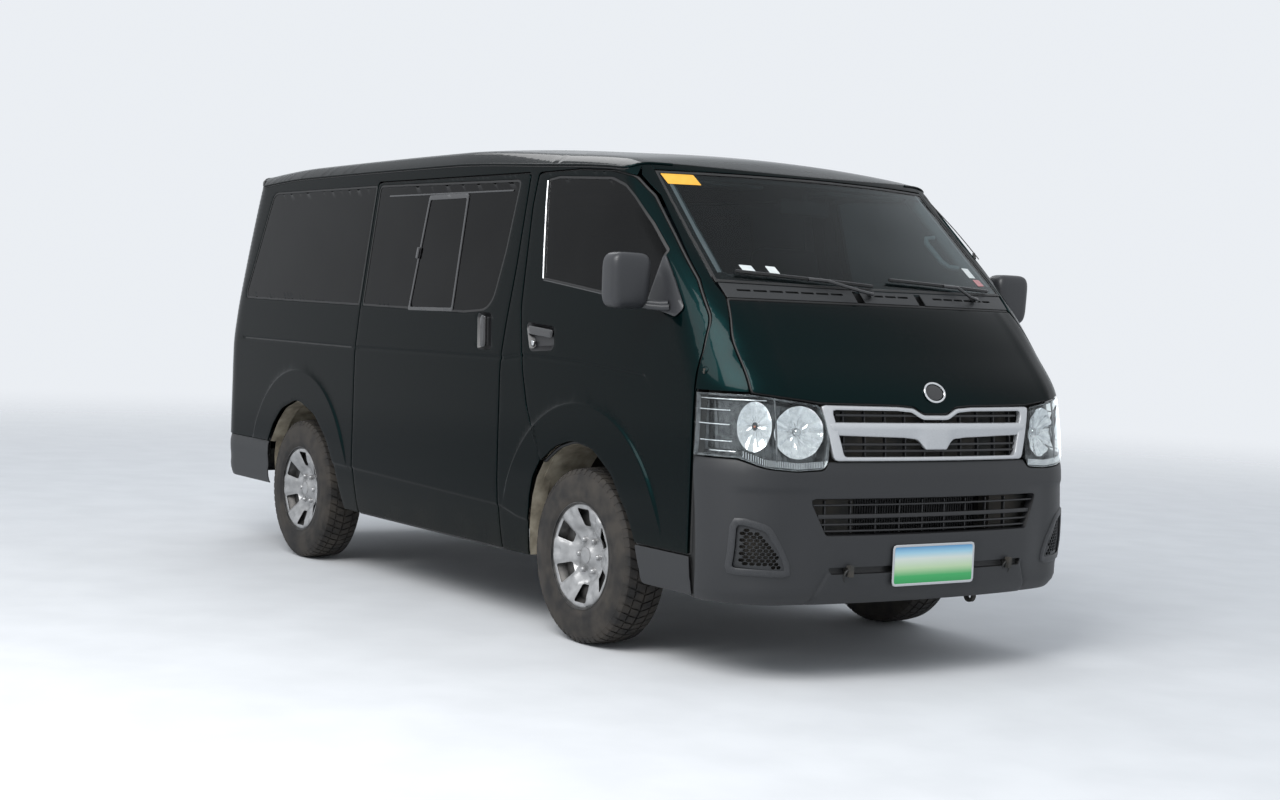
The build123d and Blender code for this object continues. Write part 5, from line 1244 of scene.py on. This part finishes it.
# Shut line seals and antenna: hollow black rubber seals pushed on the flanges behind every shut line, and a
# thin steel whip antenna on a rubber foot beside the left front pillar.
seal_depth = -17.0
seal_paths = [on_skin(seal_depth)(unrolled(view, path), 0.0) for view, path in
              (("right", door_path), ("left", door_path), ("right", sliding_path), ("front", bonnet_path))]
seal_paths.append(on_skin(seal_depth, None, True)(unrolled("rear", dense(rounded(gate_rows))), 0.0))
tube("shut_line_seals", seal_paths, 7, black_look, "black_plastic", closed=True, resolution=2)
whip_z = np.linspace(1545, 1800, 12)
whip = unrolled("left", np.stack([np.interp(whip_z, [1545, 1800], [1705, 1452]), whip_z], -1))
tube("whip_antenna", [skin_point(whip[:, 0], whip[:, 1], 14)], 2, steel_dark, "dark_metal")
tube("antenna_foot", [skin_point(whip[:2, 0], whip[:2, 1], np.array([-2.0, 12.0]))], 6, black_look,
     "black_plastic")

# Door mirrors: a grained moulded housing with flat glass in its rear face, on a short arm from a base with
# three corners that is screwed to each front door. The middle is given for the left side.
mirror_x, mirror_y, mirror_z = 1694, 945, 1387
mirror_look = finish_look("mirror_plastic", (0.020, 0.021, 0.023), (0.030, 0.031, 0.034), 700, (0.34, 0.44),
                          0.12)
mirror_glass = finish_look("mirror_glass", (0.70, 0.72, 0.73), (0.76, 0.78, 0.79), 10, (0.015, 0.02),
                           Metallic=1)


def power(value, exponent):
    """A power that keeps the sign, for outlines between a circle and a box."""
    return math.copysign(abs(value) ** exponent, value)


for side, view in both_sides:
    base = skin_panel("mirror_base_" + view, view,
                      [rounded([(1712, 1494, 10), (1876, 1296, 22), (1840, 1266, 14), (1648, 1302, 8)], 8)],
                      mirror_look, "grey_plastic", 16, 9, thick=9, edge=3.5, body="door_" + view)
    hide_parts("mirror_" + view)
    places, faces, rows, around = [], [], 24, 40
    for i in range(rows + 1):
        v = -math.pi / 2 + math.pi * i / rows
        for k in range(around):
            u = 2 * math.pi * k / around
            reach = power(math.cos(v), 0.42)
            px = 52 * reach * power(math.cos(u), 0.55)
            py = 84 * reach * power(math.sin(u), 0.34)
            pz = 101 * power(math.sin(v), 0.42)
            px = max(px, -44) + 3.0 * (pz / 100)
            py *= 1 + 0.04 * pz / 100
            places.append(((mirror_x + px) / 1000, side * (mirror_y - py * 0.98) / 1000,
                           (mirror_z + pz) / 1000))
    for i in range(rows):
        for k in range(around):
            a, b = i * around + k, i * around + (k + 1) % around
            faces.append((a, b, b + around, a + around))
    shell = plain_mesh("mirror_housing_" + view, places, faces)
    shell.data.shade_smooth()
    fitted(shell, mirror_look, "grey_plastic", body="door_" + view)
    outline = np.array([(side * mirror_y + 70 * power(math.cos(t), 0.4),
                         mirror_z + 86 * power(math.sin(t), 0.4)) for t in all_round(40)])
    fitted(sheet_mesh("mirror_pane_" + view, [outline], flat_front(1646, 1), 3, 1, 40), mirror_glass,
           "silver_trim", body="door_" + view)
    arm = [(1806, side * 826, 1298), (1780, side * 842, 1296), (1740, side * 868, 1298),
           (1706, side * 890, 1304)]
    tube("mirror_arm_" + view, [arm, [np.array(p) + np.array([-8, 0, 12]) for p in arm]], 12, mirror_look,
         "grey_plastic", resolution=5, body="door_" + view)

# Wheels: pressed steel rims, silver painted moulded covers with six windows, six nut domes and a hub cap, and
# black tubeless tyres with blocks in four rows, brown with road dust.
wheel_silver = finish_look("wheel_silver", (0.30, 0.30, 0.30), (0.42, 0.42, 0.42), 22, (0.30, 0.42), 0.05,
                           Metallic=0.6, Coat_Weight=0.2)
rim_steel = finish_look("rim_steel", (0.05, 0.05, 0.05), (0.11, 0.105, 0.10), 30, (0.4, 0.55), 0.1,
                        Metallic=0.7)
tyre_look = finish_look("tyre_rubber", (0.011, 0.010, 0.0095), (0.040, 0.034, 0.028), 14, (0.72, 0.88), 0.25)
cover_rows = np.array([(0, 64), (34, 61), (42, 52), (60, 42), (86, 42), (102, 48), (118, 58), (150, 72),
                       (178, 82), (192, 85), (203, 80)], float)


def cover_height(u, w):
    """The cover's outward height, with a raised flat-topped spoke between each two windows."""
    r, a = np.hypot(u, w), np.arctan2(w, u)
    height = np.interp(r, cover_rows[:, 0], cover_rows[:, 1])
    turn = np.abs((a + math.pi / 6) % (math.pi / 3) - math.pi / 6)
    spoke = step_up(0.28 - turn, 0, 0.06) * step_up(r, 96, 116) * step_up(197 - r, 0, 12)
    scoop = step_up(turn, 0.30, 0.48) * step_up(r, 74, 92) * step_up(122 - r, 0, 16)
    notch = step_up(0.10 - turn, 0, 0.05) * step_up(r, 150, 160) * step_up(192 - r, 0, 8)
    return height + 8.0 * spoke - 9.0 * scoop - 6.0 * notch


cover_windows = []
for k in range(6):
    mid = math.radians(30 + 60 * k)
    corners = [(r * math.cos(mid + t), r * math.sin(mid + t), 7) for r, t in
               ((114, -0.19), (184, -0.225), (184, 0.225), (114, 0.19))]
    cover_windows.append(rounded(corners, 7))
cover_rings = np.array([(r * math.cos(a), r * math.sin(a))
                        for r in (30, 36, 42, 52, 76, 84, 92, 98, 106, 112, 118, 150, 156, 162, 186, 192, 197)
                        for a in np.arange(0, 2 * math.pi, min(0.16, 7.0 / r))])
cover_radius, nut_circle = 201, 66
rim_ring = cover_radius * np.stack([np.cos(all_round(96)), np.sin(all_round(96))], -1)
barrel = [(188, -84), (206, -90), (207, -85), (196, -80), (186, -70), (172, -20), (172, 40), (184, 62),
          (190, 72), (198, 82), (206.5, 86), (207, 91), (203, 92)]
dish = [(27, 20), (60, 20), (66, 26), (100, 30), (116, 40), (150, 46), (174, 44)]
half_carcass = [(205, -82), (208, -90), (222, -95.5), (234, -97.2), (238, -96.2), (252, -97.4), (274, -96.8),
                (278, -95.4), (292, -94.6), (310, -90.5), (322, -84.5), (329, -76), (330, -40)]
carcass = half_carcass + [(330, 0)] + [(r, -w) for r, w in half_carcass[::-1]]
tread_rows = ((-79, -47, 0.0), (-41, -4, 0.5), (4, 41, 0.0), (47, 79, 0.5))
pitches, tread_radius, groove_radius, tread_half = 58, 337.7, 328.0, 79


def tread(x, y, z):
    """Points and faces of the tread blocks, slanted, with a crowned top."""
    places, faces = [], []
    for w0, w1, phase in tread_rows:
        for k in range(pitches):
            first = len(places)
            for top in (0, 1):
                for w, t in ((w0, 0.06), (w1, 0.06), (w1, 0.86), (w0, 0.86)):
                    slant = 0.35 * (w - w0) / (w1 - w0) * (1 if w0 + w1 > 0 else -1)
                    a = 2 * math.pi * (k + t + phase + slant) / pitches
                    r = tread_radius - 5.6 * (abs(w) / tread_half) ** 2.4 if top else groove_radius
                    places.append((x + r * math.cos(a), y + w, z + r * math.sin(a)))
            faces += [tuple(first + i for i in quad) for quad in
                      ((4, 5, 6, 7), (0, 1, 5, 4), (1, 2, 6, 5), (2, 3, 7, 6), (3, 0, 4, 7))]
    for edge, tip in ((-79.5, -91.5), (79.5, 91.5)):
        for k in range(pitches):
            first = len(places)
            for w, r in ((edge, 331.6), (tip, 312.0)):
                for t in (0.1, 0.8):
                    a = 2 * math.pi * (k + t + (0.5 if edge > 0 else 0)) / pitches
                    places += [(x + r * math.cos(a), y + w, z + r * math.sin(a)),
                               (x + (r - 7) * math.cos(a), y + w - math.copysign(4, w),
                                z + (r - 7) * math.sin(a))]
            faces += [tuple(first + i for i in quad) for quad in
                      ((0, 2, 6, 4), (0, 4, 5, 1), (2, 3, 7, 6), (4, 6, 7, 5))]
    return np.array(places), faces


front_wheel_y, rear_wheel_y = 735.0, 732.0
for short, wheel_x, wheel_y in (("fl", front_wheel_x, front_wheel_y), ("fr", front_wheel_x, -front_wheel_y),
                                ("rl", rear_wheel_x, rear_wheel_y), ("rr", rear_wheel_x, -rear_wheel_y)):
    side = 1 if wheel_y > 0 else -1
    middle, way, wheel_body = (wheel_x, wheel_y, wheel_z), (0, side, 0), "wheel_" + short

    def on_cover(points, depth):
        height = cover_height(points[:, 0], points[:, 1]) - depth
        return np.stack([wheel_x + points[:, 0], wheel_y + side * height, wheel_z + points[:, 1]], -1)

    fitted(sheet_mesh("wheel_cover_" + short, [rim_ring] + cover_windows, on_cover, 4, 1.6, 12, cover_rings,
                      side > 0), wheel_silver, "wheel_silver", "rim_" + short, body=wheel_body)
    nut = [(0.5, 60), (7, 59), (10.5, 55), (11.5, 48), (11.5, 40)]
    nuts = [(nut, (wheel_x + nut_circle * math.cos(a), wheel_y, wheel_z + nut_circle * math.sin(a)), way)
            for a in all_round(6)]
    turned("nut_domes_" + short, nuts, wheel_silver, "wheel_silver", 16, body=wheel_body)
    cap = [(0.5, 68), (18, 67), (28, 65.5), (31, 64), (32, 60)]
    turned("hub_cap_" + short, [(cap, middle, way)], wheel_silver, "wheel_silver", 40, body=wheel_body)
    turned("rim_" + short + "_steel", [(barrel, middle, way), (dish, middle, way)], rim_steel, "wheel_silver",
           72, body=wheel_body)
    carcass_piece = turned("tyre_" + short + "_carcass", [(carcass, middle, way)], tyre_look, "tyre", 120,
                           body=wheel_body)
    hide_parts("tyre_" + short)
    places, faces = tread(wheel_x, wheel_y, wheel_z)
    blocks = plain_mesh("tyre_" + short + "_tread", places / 1000, faces)
    fitted(blocks, tyre_look, "tyre", body=wheel_body)

# Seats: high-backed front seats and four benches, foam in grey woven cloth with sewn channels and piping, on
# steel tube legs and boxes bolted to the floor. A span is a seat's two sides, a place its pivot and sides.
front_spans = (("right", -700, -180), ("left", 180, 700))
bench_places = ((180, -420, 720), (-520, -420, 720), (-1230, -420, 560), (-1930, -560, 560))
cloth = finish_look("seat_cloth", (0.055, 0.056, 0.060), (0.11, 0.11, 0.115), 420, (0.85, 0.95), 0.35,
                    Sheen_Weight=0.2)


def cushion(name, middle, size, crown, seams, lean=0.0, neck=0.0):
    """A stuffed piece: a rounded block, crowned on its face and pinched along its seams; neck narrows it."""
    half = np.array(size) / 2.0
    radius = min(38.0, half.min() * 0.8)
    places, faces = [], []
    for axis in range(3):
        u_axis, v_axis = [a for a in range(3) if a != axis]
        nu = max(6, int(half[u_axis] * 2 / 22))
        nv = max(6, int(half[v_axis] * 2 / 22))
        for sign in (-1, 1):
            first = len(places)
            for i in range(nu + 1):
                for j in range(nv + 1):
                    p = np.zeros(3)
                    p[axis] = sign * half[axis]
                    p[u_axis] = half[u_axis] * (2 * i / nu - 1)
                    p[v_axis] = half[v_axis] * (2 * j / nv - 1)
                    core = np.clip(p, -(half - radius), half - radius)
                    n = (p - core) / max(np.linalg.norm(p - core), 1e-6)
                    q = core + n * radius
                    a, b = q[0] / half[0], q[1] / half[1]
                    puff = crown * (1 - a * a) * (1 - b * b)
                    for seam_axis, at in seams:
                        puff -= 9.0 * math.exp(-((q[seam_axis] - at) / 7.0) ** 2)
                    q = q + np.array([0, 0, 1.0]) * puff * max(n[2], 0)
                    rim = math.exp(-((q[2] - half[2] + 30) / 5.0) ** 2) * (1 - abs(n[2]))
                    q = q + n * 2.5 * rim
                    if neck:
                        share = float(step_up(np.array(a), 0.42, 0.62))
                        q[1] *= 1 - neck * share
                    places.append(q)
            for i in range(nu):
                for j in range(nv):
                    k = first + i * (nv + 1) + j
                    faces.append((k, k + nv + 1, k + nv + 2, k + 1))
    turn = Matrix.Rotation(lean, 3, "Y")
    made = plain_mesh(name, [(turn @ Vector(p) + Vector(middle)) / 1000 for p in places], faces)
    form = bmesh.new()
    form.from_mesh(made.data)
    bmesh.ops.remove_doubles(form, verts=form.verts, dist=0.0003)
    bmesh.ops.recalc_face_normals(form, faces=form.faces)
    form.to_mesh(made.data)
    form.free()
    made.data.shade_smooth()
    made.modifiers.new("soft", "SUBSURF").levels = 1
    made.data.materials.append(cloth)
    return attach(made, "van_body")


def soft_boxes(name, rows, radius, look, slot):
    """Blocks with rounded edges, as one piece; each row is two corners in millimetres."""
    form = bmesh.new()
    for low, high in rows:
        new = bmesh.ops.create_cube(form, size=1)["verts"]
        for v in new:
            v.co = Vector([(l + (c + 0.5) * (h - l)) / 1000 for l, h, c in zip(low, high, v.co)])
    bmesh.ops.bevel(form, geom=form.edges[:], offset=radius / 1000, segments=3, profile=0.5, affect="EDGES")
    made = plain_mesh(name, [], [])
    form.to_mesh(made.data)
    form.free()
    made.data.shade_smooth()
    made.data.set_sharp_from_angle(angle=math.radians(40))
    return fitted(made, look, slot)


back_lean = math.radians(-90 - 12)
for side, y0, y1 in front_spans:
    mid = (y0 + y1) / 2
    pad = cushion("front_cushion_" + side, (1245, mid, 955), (470, y1 - y0, 130), 16,
                  [(1, -130), (1, 130), (0, -60)])
    cushion("front_back_" + side, (905, mid, 1270), (610, y1 - y0, 116), 14, [(1, -130), (1, 130), (0, 120)],
            back_lean, 0.42)
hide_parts("front_seats")
for number, (x, y0, y1) in enumerate(bench_places, 1):
    mid, width = (y0 + y1) / 2, y1 - y0
    seams = [(1, -width / 6), (1, width / 6), (0, -80)]
    cushion("bench_cushion_%d" % number, (x + 215, mid, 775), (430, width, 130), 16, seams)
    cushion("bench_back_%d" % number, (x - 112, mid, 1090), (610, width, 112), 12, seams[:2] + [(0, 120)],
            back_lean)
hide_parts("rear_benches")
legs = [[(x + 60, y, 502), (x + 60, y, 700), (x + 350, y, 700), (x + 350, y, 502)]
        for x, y0, y1 in bench_places for y in (y0 + 80, y1 - 80)]
tube("bench_legs", legs, 14, steel_dark, "dark_metal", resolution=4)
soft_boxes("front_seat_bases", [((1050, y0 + 50, 801), (1440, y1 - 50, 886)) for _, y0, y1 in front_spans],
           12, steel_dark, "dark_metal")

# Steering wheel: foam rim in pale grey on three spokes with a padded boss, over a shroud that runs into the
# dashboard, which has an instrument hood, air vents and a centre stack.
trim_grey = finish_look("pale_grey_trim", (0.20, 0.205, 0.21), (0.26, 0.265, 0.27), 300, (0.5, 0.6), 0.1)
dash_look = finish_look("dash_plastic", (0.035, 0.036, 0.039), (0.050, 0.051, 0.055), 500, (0.55, 0.68), 0.2)
wheel_mid, wheel_radius = Vector((1640.0, 390.0, 1130.0)), 185
lean = math.radians(62)
wheel_way = Vector((-math.cos(lean), 0, math.sin(lean)))
across = Vector((math.sin(lean), 0, math.cos(lean)))
circle = [wheel_mid + wheel_radius * (math.cos(t) * Vector((0, 1, 0)) + math.sin(t) * across)
          for t in all_round(64)]
rim = tube("steering_rim", [circle], 14, trim_grey, "grey_plastic", closed=True, resolution=5)
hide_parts("steering_wheel")
spokes = []
for t in np.radians((-90, 20, 160)):
    out_way = math.cos(t) * Vector((0, 1, 0)) + math.sin(t) * across
    for off in (-9, 9):
        spokes.append([wheel_mid + out_way * r - wheel_way * d + Vector((0, off, 0))
                       for r, d in ((30, 22), (110, 14), (180, 2))])
tube("steering_spokes", spokes, 10, trim_grey, "grey_plastic", resolution=4)
boss = [(0.5, 6), (30, 5), (52, 0), (60, -10), (62, -26), (48, -40), (40, -60), (38, -120), (44, -160),
        (48, -330)]
turned("steering_boss", [(boss, tuple(wheel_mid), tuple(wheel_way))], trim_grey, "grey_plastic", 40)
soft_boxes("dash_details", [((1806, 235, 1215), (1960, 545, 1296)), ((1796, -120, 1010), (1840, 120, 1236)),
                            ((1800, -640, 1120), (1832, -500, 1190)), ((1800, 590, 1120), (1832, 700, 1190)),
                            ((1792, -600, 905), (1826, -230, 1060))], 14, dash_look, "grey_plastic")
slats = [[(1792, y0 + 8, z), (1792, y1 - 8, z)]
         for y0, y1 in ((-640, -500), (590, 700), (-110, -10), (10, 110)) for z in range(1132, 1186, 12)]
tube("dash_vents", slats, 2.5, black_look, "black_plastic", resolution=2)

# Inner trim: pale moulded covers on the pillars with a grab handle, cloth linings glued under the roof and on
# the sides, two sun visors and an inside mirror on the header.
lining_look = finish_look("lining_cloth", (0.16, 0.16, 0.155), (0.20, 0.20, 0.195), 260, (0.8, 0.9), 0.2)
pillar_z = np.linspace(1412, 1786, 14)
pillars = []
for side in (-1, 1):
    pillars.append(front_point(side * np.interp(pillar_z, [1396, 1809], [672, 634]), pillar_z, -42))
tube("pillar_covers", pillars, 26, trim_grey, "grey_plastic", resolution=5)
pale_handle = finish_look("pale_handle", (0.42, 0.43, 0.43), (0.50, 0.51, 0.51), 200, (0.4, 0.5))
grip = front_point([640, 616, 606, 596, 602, 628], [1500, 1504, 1522, 1600, 1618, 1622],
                   np.array([-60.0, -88, -98, -98, -88, -60]))
tube("grab_handle", [grip], 11, pale_handle, "grey_plastic", resolution=5)


def under_roof(points, depth):
    """The place under the roof skin for the lining."""
    return on_roof(points, 34.0 + depth)


inner_roof = widened(roof_loop, -60)
fitted(sheet_mesh("roof_lining", [inner_roof], under_roof, 4, 1, 90), lining_look, "grey_plastic")
for side, view in both_sides:
    middle_pane = sliding_glass_path if side < 0 else left_glass_path
    side_rows = dense(rounded([(-2040, 800, 40), (690, 800, 20), (690, 1800, 20), (-1930, 1800, 60)]), 40)
    skin_panel("side_lining_" + view, view, [side_rows, widened(quarter_path, 4), widened(middle_pane, 4)],
               lining_look, "grey_plastic", 80, -46, thick=4)
    skin_panel("door_lining_" + view, view, [widened(door_path, -34), widened(window_path, 6)], dash_look,
               "grey_plastic", 60, -42, thick=4, body="door_" + view)
soft_boxes("sun_visors", [((1320, y0, 1770), (1462, y1, 1786)) for y0, y1 in ((-560, -160), (160, 560))], 7,
           lining_look, "grey_plastic")
soft_boxes("inside_mirror", [((1498, -120, 1676), (1526, 120, 1738)), ((1508, -10, 1730), (1530, 10, 1775))],
           9, black_look, "black_plastic")

# Wheel arch edges: the steel flanges that join the outer panels to the wheel housings, spot welded and
# sealed, grey brown with road dust.
liner_dust = finish_look("dusty_liner", (0.17, 0.145, 0.105), (0.36, 0.32, 0.245), 17, (0.85, 0.95), 0.5)
front_arch_rows = [(1003, 682), (1048, 720, 80), (1111, 750, 150), (1229, 774, 200), (1370, 757, 200),
                   (1512, 670, 150), (1609, 545, 150), (1667, 437, 40), (1694, 293)]
for view in ("right", "left"):
    arches = [np.concatenate([open_path(front_arch_back), open_path(front_arch_rows)]),
              open_path(rear_arch_rows)]
    places, faces = [], []
    for arch in arches:
        path = unrolled(view, arch)
        first, n = len(places), len(path)
        for depth in (15.0, 40.0, 85.0):
            places += list(on_skin()(path, depth))
        faces += [(first + i * n + k, first + i * n + k + 1, first + (i + 1) * n + k + 1,
                   first + (i + 1) * n + k) for i in range(2) for k in range(n - 1)]
    flange = plain_mesh("arch_flange_" + view, np.array(places) / 1000, faces)
    flange.data.shade_smooth()
    fitted(flange, liner_dust, "dark_metal")

# Closing strips: black moulded strips behind the gaps between each cab door, the front bumper and the wing,
# and black panels over the ends of the rear bumper. They are riveted to the body's inner side.
for view in ("right", "left"):
    for name, out, rows in (
            ("door_closing_strip_", -14, [(1984, 1000, 2), (2056, 1000, 2), (2056, 286, 2), (1984, 286, 2)]),
            ("rear_closing_panel_", -18, [(-2190, 604, 2), (-1616, 604, 2), (-1664, 540, 2), (-1668, 470, 2),
                                          (-2190, 470, 2)])):
        skin_panel(name + view, view, [dense(rounded(rows), 30)], black_look, "black_plastic", 60, out,
                   thick=4, edge=1)

# Scuttle: a black pressed steel panel across the van, welded between the pillars, that joins the front of the
# dashboard to the cowl above it.
scuttle_y = np.linspace(-690.0, 690.0, 41)
top_row, mid_row, low_row = [front_point(scuttle_y, z, out)
                             for z, out in ((1376, -16.0), (1320, -70.0), (1258, -40.0))]
low_row[:, 0] = np.minimum(low_row[:, 0], 2006.0)
low_row[:, 2] = 1256.0
rows = np.concatenate([top_row, mid_row, low_row]) / 1000
scuttle = plain_mesh("scuttle_panel", rows, [(k, k + 1, k + 42, k + 41) for k in range(81) if k != 40])
scuttle.data.shade_smooth()
fitted(scuttle, black_look, "black_plastic")

# Inner wings: dark painted steel panels that join the scuttle and the dashboard's ends to the front wings and
# keep the light out beside them.
for side, view in both_sides:
    wing_z = np.array([1000.0, 1120.0, 1240.0, 1262.0, 1300.0, 1336.0])
    outer_points = on_skin(-9)(unrolled(view, np.stack([np.full(6, 2004.0), wing_z], -1)), np.zeros(6))
    inner_points = outer_points.copy()
    inner_points[:, 1] = side * np.minimum(np.abs(outer_points[:, 1]) - 4.0,
                                           np.where(wing_z < 1262, 762.0, 600.0))
    panel = plain_mesh("inner_wing_" + view, np.concatenate([outer_points, inner_points]) / 1000,
                       [(k, k + 1, k + 7, k + 6) for k in range(5)])
    fitted(panel, black_look, "black_plastic")

# Wing plugs: small round covers, painted with the body and pressed in over the upper bolt of each front wing.
# They stand a little proud of the sheet.
plug_x, plug_z, plug_radius = 2030, 1085, 13
plug = np.stack([plug_x + plug_radius * np.cos(all_round(24)), plug_z + plug_radius * np.sin(all_round(24))],
                -1)
for view in ("right", "left"):
    skin_panel("wing_plug_" + view, view, [plug], paint, "body_paint", 8, 3, thick=3, edge=1.2)

# Underside and chassis: the floor pan, frame, springs, axle, engine block, tank and exhaust keep the shape of
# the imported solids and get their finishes: underbody coat, black paint, cast metal, rust and road dust.
under_paint = finish_look("underbody_coat", (0.020, 0.021, 0.020), (0.060, 0.052, 0.042), 9, (0.7, 0.85), 0.3)
cast = finish_look("cast_metal", (0.07, 0.068, 0.064), (0.14, 0.13, 0.12), 26, (0.5, 0.65), 0.3, Metallic=0.5)
rusty = finish_look("exhaust_steel", (0.07, 0.045, 0.03), (0.17, 0.14, 0.12), 20, (0.5, 0.7), 0.3,
                    Metallic=0.6)
tank_look = finish_look("tank_coat", (0.012, 0.012, 0.012), (0.035, 0.032, 0.028), 11, (0.5, 0.7), 0.2)
for look, nodes in (
        (under_paint, ("floor_pan", "underframe", "front_panel")), (liner_dust, ("wheel_housings",)),
        (steel_dark, ("leaf_springs", "rear_axle", "front_suspension")), (rusty, ("exhaust",)),
        (cast, ("knuckle_right", "knuckle_left", "engine_block")), (tank_look, ("fuel_tank",)),
        (dash_look, ("dashboard",))):
    for node in nodes:
        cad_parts[node].data.materials.clear()
        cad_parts[node].data.materials.append(look)
low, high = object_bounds()
